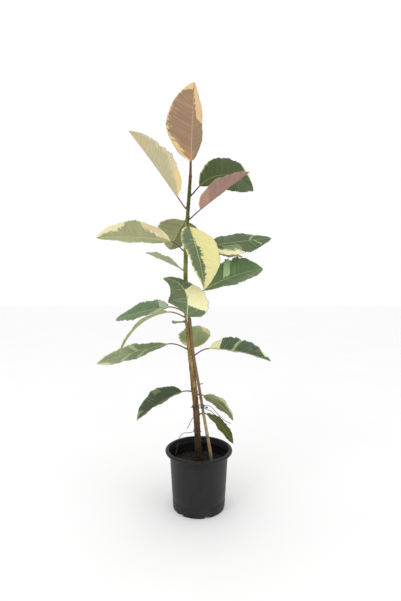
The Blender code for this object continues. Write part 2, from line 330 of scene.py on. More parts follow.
def tube_recipe() -> Recipe:
    """A round tube along the host's edges, as thick as its 'thickness' attribute says."""
    recipe = Recipe("tube_along_path", {"Sides": "NodeSocketInt",
                                        "Thickness Factor": "NodeSocketFloat",
                                        "Finish": "NodeSocketMaterial"})
    curve = recipe.node("GeometryNodeMeshToCurve", None, {"Mesh": recipe.given("Geometry")})
    thick = recipe.node("GeometryNodeInputNamedAttribute", {"data_type": "FLOAT"},
                        {"Name": "thickness"})
    scaled = recipe.node("ShaderNodeMath", {"operation": "MULTIPLY"},
                         {0: thick.outputs["Attribute"], 1: recipe.given("Thickness Factor")})
    ring = recipe.node("GeometryNodeCurvePrimitiveCircle", None,
                       {"Resolution": recipe.given("Sides"), "Radius": 1.0})
    tube = recipe.node("GeometryNodeCurveToMesh", None,
                       {"Curve": curve.outputs[0], "Profile Curve": ring.outputs[0],
                        "Scale": scaled.outputs[0], "Fill Caps": True})
    recipe.close(tube.outputs[0])
    return recipe


class Lie(Enum):
    """How a strewn grain lies on its host."""

    TUMBLED = "tumbled"
    FLUSH = "flush"


def strewing_recipe(lie: Lie) -> Recipe:
    """Small rough grains strewn over the host where its 'strewn' attribute allows.

    Args:
        lie: Whether grains tumble freely or lie flush with the surface.

    Returns:
        The recipe.
    """
    recipe = Recipe(f"grains_{lie.value}", {"Density": "NodeSocketFloat",
                                            "Smallest": "NodeSocketVector",
                                            "Largest": "NodeSocketVector",
                                            "Seed": "NodeSocketInt",
                                            "Finish": "NodeSocketMaterial"})
    strewn = recipe.node("GeometryNodeInputNamedAttribute", {"data_type": "FLOAT"},
                         {"Name": "strewn"})
    density = recipe.node("ShaderNodeMath", {"operation": "MULTIPLY"},
                          {0: strewn.outputs["Attribute"], 1: recipe.given("Density")})
    spots = recipe.node("GeometryNodeDistributePointsOnFaces",
                        {"distribute_method": "RANDOM"},
                        {"Mesh": recipe.given("Geometry"), "Density": density.outputs[0],
                         "Seed": recipe.given("Seed")})
    grain = recipe.node("GeometryNodeMeshIcoSphere", None, {"Radius": 1.0, "Subdivisions": 1})
    dent = recipe.node("ShaderNodeTexNoise", None, {"Scale": 1.3, "Detail": 1.0})
    shift = recipe.node("ShaderNodeVectorMath", {"operation": "SUBTRACT"},
                        {0: dent.outputs["Color"], 1: (0.5, 0.5, 0.5)})
    rough = recipe.node("GeometryNodeSetPosition", None,
                        {"Geometry": grain.outputs[0], "Offset": shift.outputs[0]})
    size = recipe.node("FunctionNodeRandomValue", {"data_type": "FLOAT_VECTOR"},
                       {"Min": recipe.given("Smallest"), "Max": recipe.given("Largest"),
                        "Seed": recipe.given("Seed")})
    turn = spots.outputs["Rotation"]
    if lie is Lie.TUMBLED:
        spin = recipe.node("FunctionNodeRandomValue", {"data_type": "FLOAT_VECTOR"},
                           {"Min": (0.0, 0.0, 0.0), "Max": (6.28, 6.28, 6.28), "Seed": 5})
        turn = spin.outputs[0]
    grains = recipe.node("GeometryNodeInstanceOnPoints", None,
                         {"Points": spots.outputs["Points"], "Instance": rough.outputs[0],
                          "Rotation": turn, "Scale": size.outputs[0]})
    recipe.close(grains.outputs[0])
    return recipe


# ------------------------------------------------------------------ mesh helpers

def along_route(points: np.ndarray, places: np.ndarray) -> np.ndarray:
    """Points on a smooth curve through route points.

    Args:
        points: The route's points, one a row.
        places: Where on the route, counted in points from its start.

    Returns:
        One curve point a row.
    """
    points = np.asarray(points, float)
    padded = np.vstack((2 * points[0] - points[1], points, 2 * points[-1] - points[-2]))
    span = np.clip(places.astype(int), 0, len(points) - 2)
    t = (places - span)[:, None]
    a, b, c, d = padded[span], padded[span + 1], padded[span + 2], padded[span + 3]
    return 0.5 * (2 * b + (c - a) * t + (2 * a - 5 * b + 4 * c - d) * t ** 2
                  + (3 * b - a - 3 * c + d) * t ** 3)


def path_mesh(name: str, routes: Iterable[tuple[np.ndarray, np.ndarray]]) -> bpy.types.Mesh:
    """Edges along one or more routes, with a thickness at each point.

    Args:
        name: The mesh's name.
        routes: For each route its points and their radii.

    Returns:
        The mesh that a tube recipe works on.
    """
    points, edges, radii = [], [], []
    for route, thickness in routes:
        first = len(points)
        points += [tuple(place) for place in route]
        edges += [(first + k, first + k + 1) for k in range(len(route) - 1)]
        radii += list(thickness)
    mesh = bpy.data.meshes.new(name)
    mesh.from_pydata(points, edges, [])
    store(mesh, "thickness", np.array(radii))
    return mesh


def store(mesh: bpy.types.Mesh, name: str, numbers: np.ndarray, domain: str = "POINT") -> None:
    """Keep one number for each point or face on a mesh."""
    layer = mesh.attributes.new(name, "FLOAT", domain)
    layer.data.foreach_set("value", np.asarray(numbers, np.float32).ravel())


def level_ring(radius: float | np.ndarray, turns: np.ndarray, height: float | np.ndarray,
               middle: float = 0.0) -> np.ndarray:
    """Points round an upright axis, each at its own or one common radius and height."""
    return np.stack((middle + radius * np.cos(turns), radius * np.sin(turns),
                     np.full(len(turns), height)), axis=1)


def ring_mesh(name: str, rings: np.ndarray) -> bpy.types.Mesh:
    """A closed mesh through rings of points, with a fan of faces at each end.

    Args:
        name: The mesh's name.
        rings: Array of rings by points by three.

    Returns:
        The mesh: the rings' points in order, then the middles of the two ends. Its faces
        are the rows between rings in order, then the two fans.
    """
    count, around = rings.shape[:2]
    ends = np.vstack((rings[0].mean(axis=0), rings[-1].mean(axis=0)))
    points = np.vstack((rings.reshape(-1, 3), ends))
    faces = []
    for row in range(count - 1):
        low, high = row * around, (row + 1) * around
        for i in range(around):
            j = (i + 1) % around
            faces.append((low + i, low + j, high + j, high + i))
    top = (count - 1) * around
    for i in range(around):
        j = (i + 1) % around
        faces.append((j, i, count * around))
        faces.append((top + i, top + j, count * around + 1))
    mesh = bpy.data.meshes.new(name)
    mesh.from_pydata(points.tolist(), [], faces)
    turn_outwards(mesh)
    mesh.shade_smooth()
    return mesh


def turn_outwards(mesh: bpy.types.Mesh) -> None:
    """Make every face of a closed mesh look outwards."""
    bm = bmesh.new()
    bm.from_mesh(mesh)
    bmesh.ops.recalc_face_normals(bm, faces=bm.faces)
    bm.to_mesh(mesh)
    bm.free()


def ripples(seed: int, count: int, slowest: float, fastest: float,
            where: np.ndarray) -> np.ndarray:
    """A sum of fixed random waves, about one unit high at most.

    Args:
        seed: Fixes the waves.
        count: How many waves.
        slowest: Fewest cycles for each unit of where.
        fastest: Most cycles for each unit of where.
        where: Places, with one or more columns.

    Returns:
        The sum at each place.
    """
    rng = np.random.default_rng(seed)
    where = np.atleast_2d(where.T).T
    total = np.zeros(len(where))
    for _ in range(count):
        wave = rng.uniform(slowest, fastest, where.shape[1])
        wave *= rng.choice((-1.0, 1.0), where.shape[1])
        total += np.sin(2 * math.pi * (where @ wave + rng.uniform()))
    return total / math.sqrt(count) / 1.4


def smooth(value: np.ndarray | float, low: float, high: float) -> np.ndarray | float:
    """Ease from nought at low to one at high."""
    t = np.clip((value - low) / (high - low), 0.0, 1.0)
    return t * t * (3 - 2 * t)


def add_piece(name: str, mesh: bpy.types.Mesh, material: bpy.types.Material) -> bpy.types.Object:
    """Put a mesh in the scene as a piece in one material."""
    piece = bpy.data.objects.new(name, mesh)
    bpy.context.scene.collection.objects.link(piece)
    mesh.materials.clear()
    mesh.materials.append(material)
    return piece


def hand_over(piece: bpy.types.Object, slot: str, *nodes: str) -> None:
    """Let a piece ride on the plant and hide the CAD nodes that it stands for."""
    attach(piece, "root")
    if nodes:
        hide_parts(*nodes)
    log.info("%s: %d faces", piece.name, len(piece.data.polygons))


# ------------------------------------------------------------------ finishes

@dataclass(frozen=True)
class NurseryPlastic:
    """Black moulded plastic, faintly mottled and scuffed, with dust near its foot and painted shade over
    its rim.
    """

    black: Tone = (18, 18, 20)
    scuffed: Tone = (40, 40, 42)
    dust: Tone = (92, 86, 76)
    # rim: near-black for the painted shade over the rim and lip
    rim: Tone = (8, 8, 9)

    def build(self) -> bpy.types.Material:
        """The pot's material."""
        g = Graph("nursery_plastic")
        spot = g.place()
        x, y, z = g.axes(spot)
        mottle = g.noise(spot, 38.0, 4.0, 0.6)
        drag = g.noise(g.vector(x * 90.0, y * 90.0, z * 7.0), 1.0, 3.0, 0.6)
        scuffs = g.soft_step(drag, 0.60, 0.74) * g.soft_step(mottle, 0.42, 0.6)
        low = g.soft_step(z, 0.030, 0.002) * g.soft_step(mottle, 0.45, 0.75)
        colour = g.mix(g.soft_step(mottle, 0.3, 0.8) * 0.45, linear(self.black),
                       linear(self.scuffed))
        colour = g.mix(scuffs * 0.5, colour, linear(self.scuffed))
        colour = g.mix(low * 0.22, colour, linear(self.dust))
        # painted shade: rim and lip darkened from 0.146 m up
        colour = g.mix(g.soft_step(z, 0.146, 0.156) * 0.85, colour, linear(self.rim))
        grain = g.noise(spot, 1500.0, 2.0)
        relief = grain * 0.5 + mottle * 0.5 + drag * 0.3
        return g.finish(colour, 0.40 + mottle * 0.16 + low * 0.2,
                        g.bump(relief, 0.0005, 0.35), Specular_IOR_Level=0.32)


@dataclass(frozen=True)
class PottingMix:
    """Damp peat with darker and lighter crumbs."""

    dark: Tone = (12, 10, 7)
    light: Tone = (40, 29, 20)

    def build(self) -> bpy.types.Material:
        """The mix's material."""
        g = Graph("potting_mix")
        spot = g.place()
        crumb = g.noise(spot, 260.0, 4.0, 0.65)
        patch = g.noise(spot, 45.0, 2.0)
        share = g.soft_step(crumb * 0.7 + patch * 0.3, 0.42, 0.68)
        colour = g.mix(share, linear(self.dark), linear(self.light))
        return g.finish(colour, 0.85 + crumb * 0.1, g.bump(crumb, 0.0020, 0.9))


@dataclass(frozen=True)
class Crumb:
    """Bits of bark, peat or grit, each tinted by where it lies."""

    name: str
    dark: Tone
    light: Tone

    def build(self) -> bpy.types.Material:
        """The crumbs' material."""
        g = Graph(self.name)
        spot = g.place()
        share = g.noise(spot, 120.0, 1.0)
        fibre = g.noise(spot, 900.0, 2.0)
        colour = g.mix(g.soft_step(share, 0.35, 0.65), linear(self.dark), linear(self.light))
        colour = g.shade(colour, 0.8 + fibre * 0.4)
        return g.finish(colour, 0.75 + fibre * 0.2, g.bump(fibre, 0.0004, 0.6))


@dataclass(frozen=True)
class Bark:
    """The stem: dark red-brown at its foot, tan bark higher up, then green to the tip."""

    foot: Tone = (26, 16, 10)
    red: Tone = (84, 54, 32)
    tan: Tone = (172, 146, 90)
    pale: Tone = (190, 168, 116)
    green: Tone = (130, 142, 80)
    olive: Tone = (104, 110, 54)
    shade: Tone = (52, 50, 26)
    young: Tone = (112, 66, 56)

    def build(self) -> bpy.types.Material:
        """The stem's material."""
        g = Graph("bark")
        spot = g.place()
        x, y, z = g.axes(spot)
        streak = g.noise(g.vector(x * 420.0, y * 420.0, z * 26.0), 1.0, 4.0, 0.6)
        ridge = g.noise(g.vector(x * 900.0, y * 900.0, z * 60.0), 1.0, 3.0, 0.6)
        blotch = g.noise(spot, 42.0, 3.0, 0.6)
        wander = blotch * 0.10 - 0.05
        woody = g.mix(g.soft_step(streak, 0.38, 0.62), linear(self.red), linear(self.tan))
        woody = g.mix(g.soft_step(blotch, 0.55, 0.72) * 0.6, woody, linear(self.pale))
        aged = g.soft_step(z + wander, 0.46, 0.32)
        woody = g.mix(aged * 0.6, woody, linear(self.red))
        low = g.soft_step(z + wander, 0.34, 0.17)
        woody = g.mix(low * 0.85, woody, linear(self.foot))
        sappy = g.mix(g.soft_step(blotch, 0.40, 0.62), linear(self.olive), linear(self.green))
        colour = g.mix(g.soft_step(z + wander * 1.6, 0.53, 0.66), woody, sappy)
        shadow = g.soft_step(x + streak * 0.004, -0.0345, -0.0315)
        colour = g.mix(shadow * g.soft_step(z, 0.78, 0.88) * 0.7, colour, linear(self.shade))
        colour = g.mix(g.soft_step(z, 0.955, 0.978), colour, linear(self.young))
        colour = g.shade(colour, 0.72 + ridge * 0.55)
        crack = g.soft_step(ridge, 0.42, 0.30) * g.soft_step(z, 0.60, 0.45)
        colour = g.mix(crack * 0.55, colour, linear(self.foot))
        relief = streak * 0.5 + ridge * 0.5
        return g.finish(colour, 0.62 + blotch * 0.25, g.bump(relief, 0.0012, 0.8),
                        Specular_IOR_Level=0.2)


@dataclass(frozen=True)
class Bamboo:
    """Dry split-free cane, tan with brown blotches and grain along it, browner higher up."""

    tan: Tone = (158, 132, 92)
    pale: Tone = (190, 168, 128)
    brown: Tone = (92, 70, 48)

    def build(self) -> bpy.types.Material:
        """The cane's material."""
        g = Graph("bamboo")
        spot = g.place()
        x, y, z = g.axes(spot)
        grain = g.noise(g.vector(x * 900.0, y * 900.0, z * 30.0), 1.0, 3.0, 0.6)
        blotch = g.noise(spot, 60.0, 3.0)
        colour = g.mix(g.soft_step(grain, 0.35, 0.65), linear(self.tan), linear(self.pale))
        colour = g.mix(g.soft_step(blotch, 0.52, 0.70) * 0.6, colour, linear(self.brown))
        colour = g.mix(g.soft_step(z, 0.24, 0.34) * 0.75, colour, linear(self.brown))
        return g.finish(colour, 0.5 + grain * 0.2, g.bump(grain, 0.0003, 0.6))


@dataclass(frozen=True)
class TieWire:
    """Dark annealed wire with worn, brighter stretches."""

    dark: Tone = (46, 44, 48)
    worn: Tone = (128, 126, 138)

    def build(self) -> bpy.types.Material:
        """The wire's material."""
        g = Graph("wire")
        spot = g.place()
        wear = g.noise(spot, 130.0, 3.0, 0.6)
        colour = g.mix(g.soft_step(wear, 0.45, 0.7), linear(self.dark), linear(self.worn))
        return g.finish(colour, 0.38 + wear * 0.2, g.bump(wear, 0.0001, 0.5), Metallic=0.6)


class Side(Enum):
    """Halves of a leaf, seen from its stalk with the upper side up."""

    RIGHT = 1
    LEFT = -1


@dataclass(frozen=True)
class Stroke:
    """A patch of another colour that runs out along the side veins. A stroke over a whole half can lay
    painted shade on it instead, as on leaf_back_upper.

    at and half_width are shares of the blade's length; inner and outer are shares of the
    way from midrib to edge.
    """

    side: Side
    at: float
    half_width: float
    tone: Tone
    inner: float = 0.0
    outer: float = 1.1
    strength: float = 0.9


@dataclass(frozen=True)
class LeafLook:
    """The pattern and colours of one leaf; on some leaves they hold painted shade as well.

    right and left say how far the green reaches from the midrib to the edge, at shares of
    the length. core is the share of that reach in the deep colour.
    """

    right: Stops = ((0.0, 0.9), (1.0, 0.9))
    left: Stops = ((0.0, 0.9), (1.0, 0.9))
    deep: Tone = (84, 102, 68)
    slate: Tone = (122, 138, 100)
    cream: Tone = (232, 226, 172)
    rib: Tone = (190, 198, 150)
    under_deep: Tone = (138, 146, 112)
    under_slate: Tone = (166, 172, 136)
    under_cream: Tone = (222, 214, 172)
    under_rib: Tone = (198, 186, 146)
    stalk: Tone = (108, 78, 62)
    edge: Tone = (236, 232, 190)
    core: float = 0.85
    jag: float = 0.55
    lobe: float = 0.45
    specks: float = 0.0
    strokes: tuple[Stroke, ...] = ()


REACH_TOP = 1.6                 # most that a reach may be
VEINS = 26                      # side veins on each half of a blade
VEIN_SLANT = 0.13               # how far a vein has gone towards the tip at the edge


class LeafSkin:
    """Builds one leaf's material from its look."""

    def __init__(self, name: str, look: LeafLook, seed: float) -> None:
        """Read the mesh's own measures, on which the whole pattern rests."""
        self.look = look
        self.seed = seed
        self.g = Graph(name)
        self.across = self.g.attribute("across")
        self.along = self.g.attribute("along")
        self.off_rib = self.g.attribute("off_rib")
        self.under = self.g.attribute("under")
        self.reach = abs(self.across)
        self.is_right = self.across > 0.0
        self.vein = self.along - VEIN_SLANT * self.reach

    def vein_noise(self, fine: float, long: float, shift: float, detail: float = 2.0) -> Value:
        """Noise drawn out along the side veins, about nought."""
        layer = self.is_right * 3.7 + (self.seed + shift)
        where = self.g.vector(self.vein * fine, self.reach * long, layer)
        return self.g.noise(where, 1.0, detail, 0.6) - 0.5

    def zones(self) -> tuple[Value, Value, Value]:
        """Shares of green and of deep green, and the ragged noise at their bounds."""
        g, look = self.g, self.look
        right = g.follow(self.along, look.right, REACH_TOP)
        left = g.follow(self.along, look.left, REACH_TOP)
        limit = left + (right - left) * self.is_right
        jag = self.vein_noise(34.0, 2.4, 1.0)
        lobe = self.vein_noise(9.0, 1.5, 9.0)
        green = g.soft_step(limit + jag * look.jag + lobe * look.lobe - self.reach, -0.02, 0.02)
        patch = self.vein_noise(7.0, 2.0, 17.0, 3.0)
        inner = limit * look.core + jag * 0.4 + patch * 1.3 - self.reach
        return green, g.soft_step(inner, -0.03, 0.03) * green, jag

    def band(self, stroke: Stroke, jag: Value) -> Value:
        """Share of a stroke's colour."""
        g = self.g
        near = stroke.half_width - abs(self.vein - stroke.at) + jag * 0.035
        share = g.soft_step(near, -0.004, 0.004)
        side = self.is_right if stroke.side is Side.RIGHT else 1.0 - self.is_right
        rim = jag * 0.35
        inside = g.soft_step(self.reach + rim, stroke.inner - 0.02, stroke.inner + 0.02)
        outside = g.soft_step(self.reach + rim, stroke.outer + 0.02, stroke.outer - 0.02)
        return share * side * inside * outside * stroke.strength

    def build(self) -> bpy.types.Material:
        """The leaf's material."""
        g, look = self.g, self.look
        spot = g.place()
        green, deep, jag = self.zones()
        upper = g.mix(green, linear(look.cream), linear(look.slate))
        upper = g.mix(deep, upper, linear(look.deep))
        lower = g.mix(green, linear(look.under_cream), linear(look.under_slate))
        lower = g.mix(deep, lower, linear(look.under_deep))
        colour = g.mix(self.under, upper, lower)
        # strokes lay patches of another colour; on leaf_back_upper one lays painted shade over the right
        # half
        for stroke in look.strokes:
            colour = g.mix(self.band(stroke, jag), colour, linear(stroke.tone))
        ladder = g.math("FRACT", self.vein * float(VEINS))
        line = g.soft_step(abs(ladder - 0.5), 0.36, 0.50)
        faint = self.vein_noise(90.0, 2.0, 30.0)
        colour = g.mix(line * (0.20 + self.under * 0.10), colour, linear(look.rib))
        mottle = g.noise(spot, 85.0, 3.0, 0.6)
        streak = self.vein_noise(44.0, 1.2, 40.0, 3.0)
        colour = g.mix(g.soft_step(streak, 0.02, 0.20) * 0.30, colour, linear(look.rib))
        colour = g.shade(colour, 0.92 + mottle * 0.14 + faint * 0.26 + streak * 0.42)
        if look.specks:
            speck = g.soft_step(g.noise(spot, 150.0, 2.0), 0.715, 0.735)
            colour = g.mix(speck * look.specks, colour, linear((128, 96, 58)))
        edge = g.soft_step(self.reach, 0.972, 0.990)
        colour = g.mix(edge * 0.75, colour, linear(look.edge))
        width = 0.0017 - self.along * 0.0012
        rib = g.soft_step(width - self.off_rib, -0.0003, 0.0003)
        rib_colour = g.mix(self.under, linear(look.rib), linear(look.under_rib))
        colour = g.mix(rib * 0.9, colour, rib_colour)
        stalk = g.soft_step(self.along, 0.035, -0.02) * g.soft_step(self.off_rib, 0.006, 0.003)
        colour = g.mix(stalk, colour, linear(look.stalk))
        gloss = 0.40 + mottle * 0.14 + self.under * 0.18
        relief = (1.0 - line) * 0.5 + mottle * 0.25 + faint * 0.4
        return g.finish(colour, gloss, g.bump(relief, 0.0007, 0.45), Specular_IOR_Level=0.22)


# ------------------------------------------------------------------ leaves

@dataclass(frozen=True)
class LeafPlan:
    """Where one leaf grows and how it is shaped.

    Angles are degrees. heading 0 is to the right and 90 to the back; rise and pitch are the
    steepness of stalk and blade; droop and veer are what the blade loses and turns on the
    way to its tip; roll turns it about its midrib; fold lifts its halves.
    """

    name: str
    height: float
    heading: float
    stalk: float
    rise: float
    length: float
    width: float
    pitch: float
    droop: float
    veer: float
    roll: float
    fold: float
    belly: float


LEAF_PLANS = (
    #         name                     height head stalk rise length width pitch droop veer roll fold belly
    LeafPlan("leaf_top",               .977, 310, .042,  88, .213, .146,  88,   5,    0,   0,  26,  .92),
    LeafPlan("leaf_upper_left",        .885, 185, .040,  55, .225, .125,  55,   4,    0, -18,  35,  .80),
    LeafPlan("leaf_upper_right_back",  .922,  28, .038,  48, .210, .128,  46,  92,    0, -60,   5, 1.20),
    LeafPlan("leaf_upper_right_front", .855, 345, .040,  42, .172, .085,  36,   2,    0,  20,  35,  .80),
    LeafPlan("leaf_left_cream",        .765, 185, .045,  50, .212, .106,  11,  17,    0, -35,  20,  .95),
    LeafPlan("leaf_back_upper",        .852, 108, .020,  10, .190, .125, -15,  20,    0, -15,   5,  .80),
    LeafPlan("leaf_front_hanging",     .840, 288, .020, -10, .195, .134, -45,  40,   34,   7,  20, 1.00),
    LeafPlan("leaf_right_upper",       .757,  10, .060,  25, .195, .100,  10,   5,    0, -38,  -8,  .80),
    LeafPlan("leaf_right_behind",      .764,  34, .024,  10, .182, .080,   0,  11,    0, -24,   5,  .80),
    LeafPlan("leaf_right_middle",      .622,  12, .050,  35, .195, .116,  30,  22,    0, -40,  24, 1.15),
    LeafPlan("leaf_left_small",        .709, 165, .012,  45, .115, .066,  24,   3,    0, -22,  15,  .80),
    LeafPlan("leaf_front_middle",      .563, 270, .046,   5, .152, .120,  60, -122,  115, -142, -22,  .55),
    LeafPlan("leaf_left_arching",      .573, 198, .052,  30, .200, .092,  -5,  72,    0, -14,   9,  .80),
    LeafPlan("leaf_left_back",         .586, 152, .055,  25, .208, .098,  -9,  10,    0,  30,  10,  .95),
    LeafPlan("leaf_left_long",         .478, 185, .058,  30, .215, .086, -12,   6,    0,  20,   5, 1.20),
    LeafPlan("leaf_back_small",        .552, 115, .020,  10, .085, .045,  -5,  10,    0,   0,  15,  .80),
    LeafPlan("leaf_back_lower",        .468,  82, .020,  20, .145, .100,  25,  10,    0,   0,  10,  .80),
    LeafPlan("leaf_right_long",        .458, 355, .050,  40, .185, .100,   0,  22,    0, -16,  27,  .80),
    LeafPlan("leaf_low_left",          .352, 190, .026,  10, .158, .110, -18,  25,    0,   9,  24,  .90),
    LeafPlan("leaf_low_right",         .343, 325, .024,  10, .115, .052,  -8,  50,   20,  -8,  10,  .80),
    LeafPlan("leaf_low_drooping",      .280,  30, .026,   5, .128, .042, -34,  28,  -60, -30,   5,  .85),
)

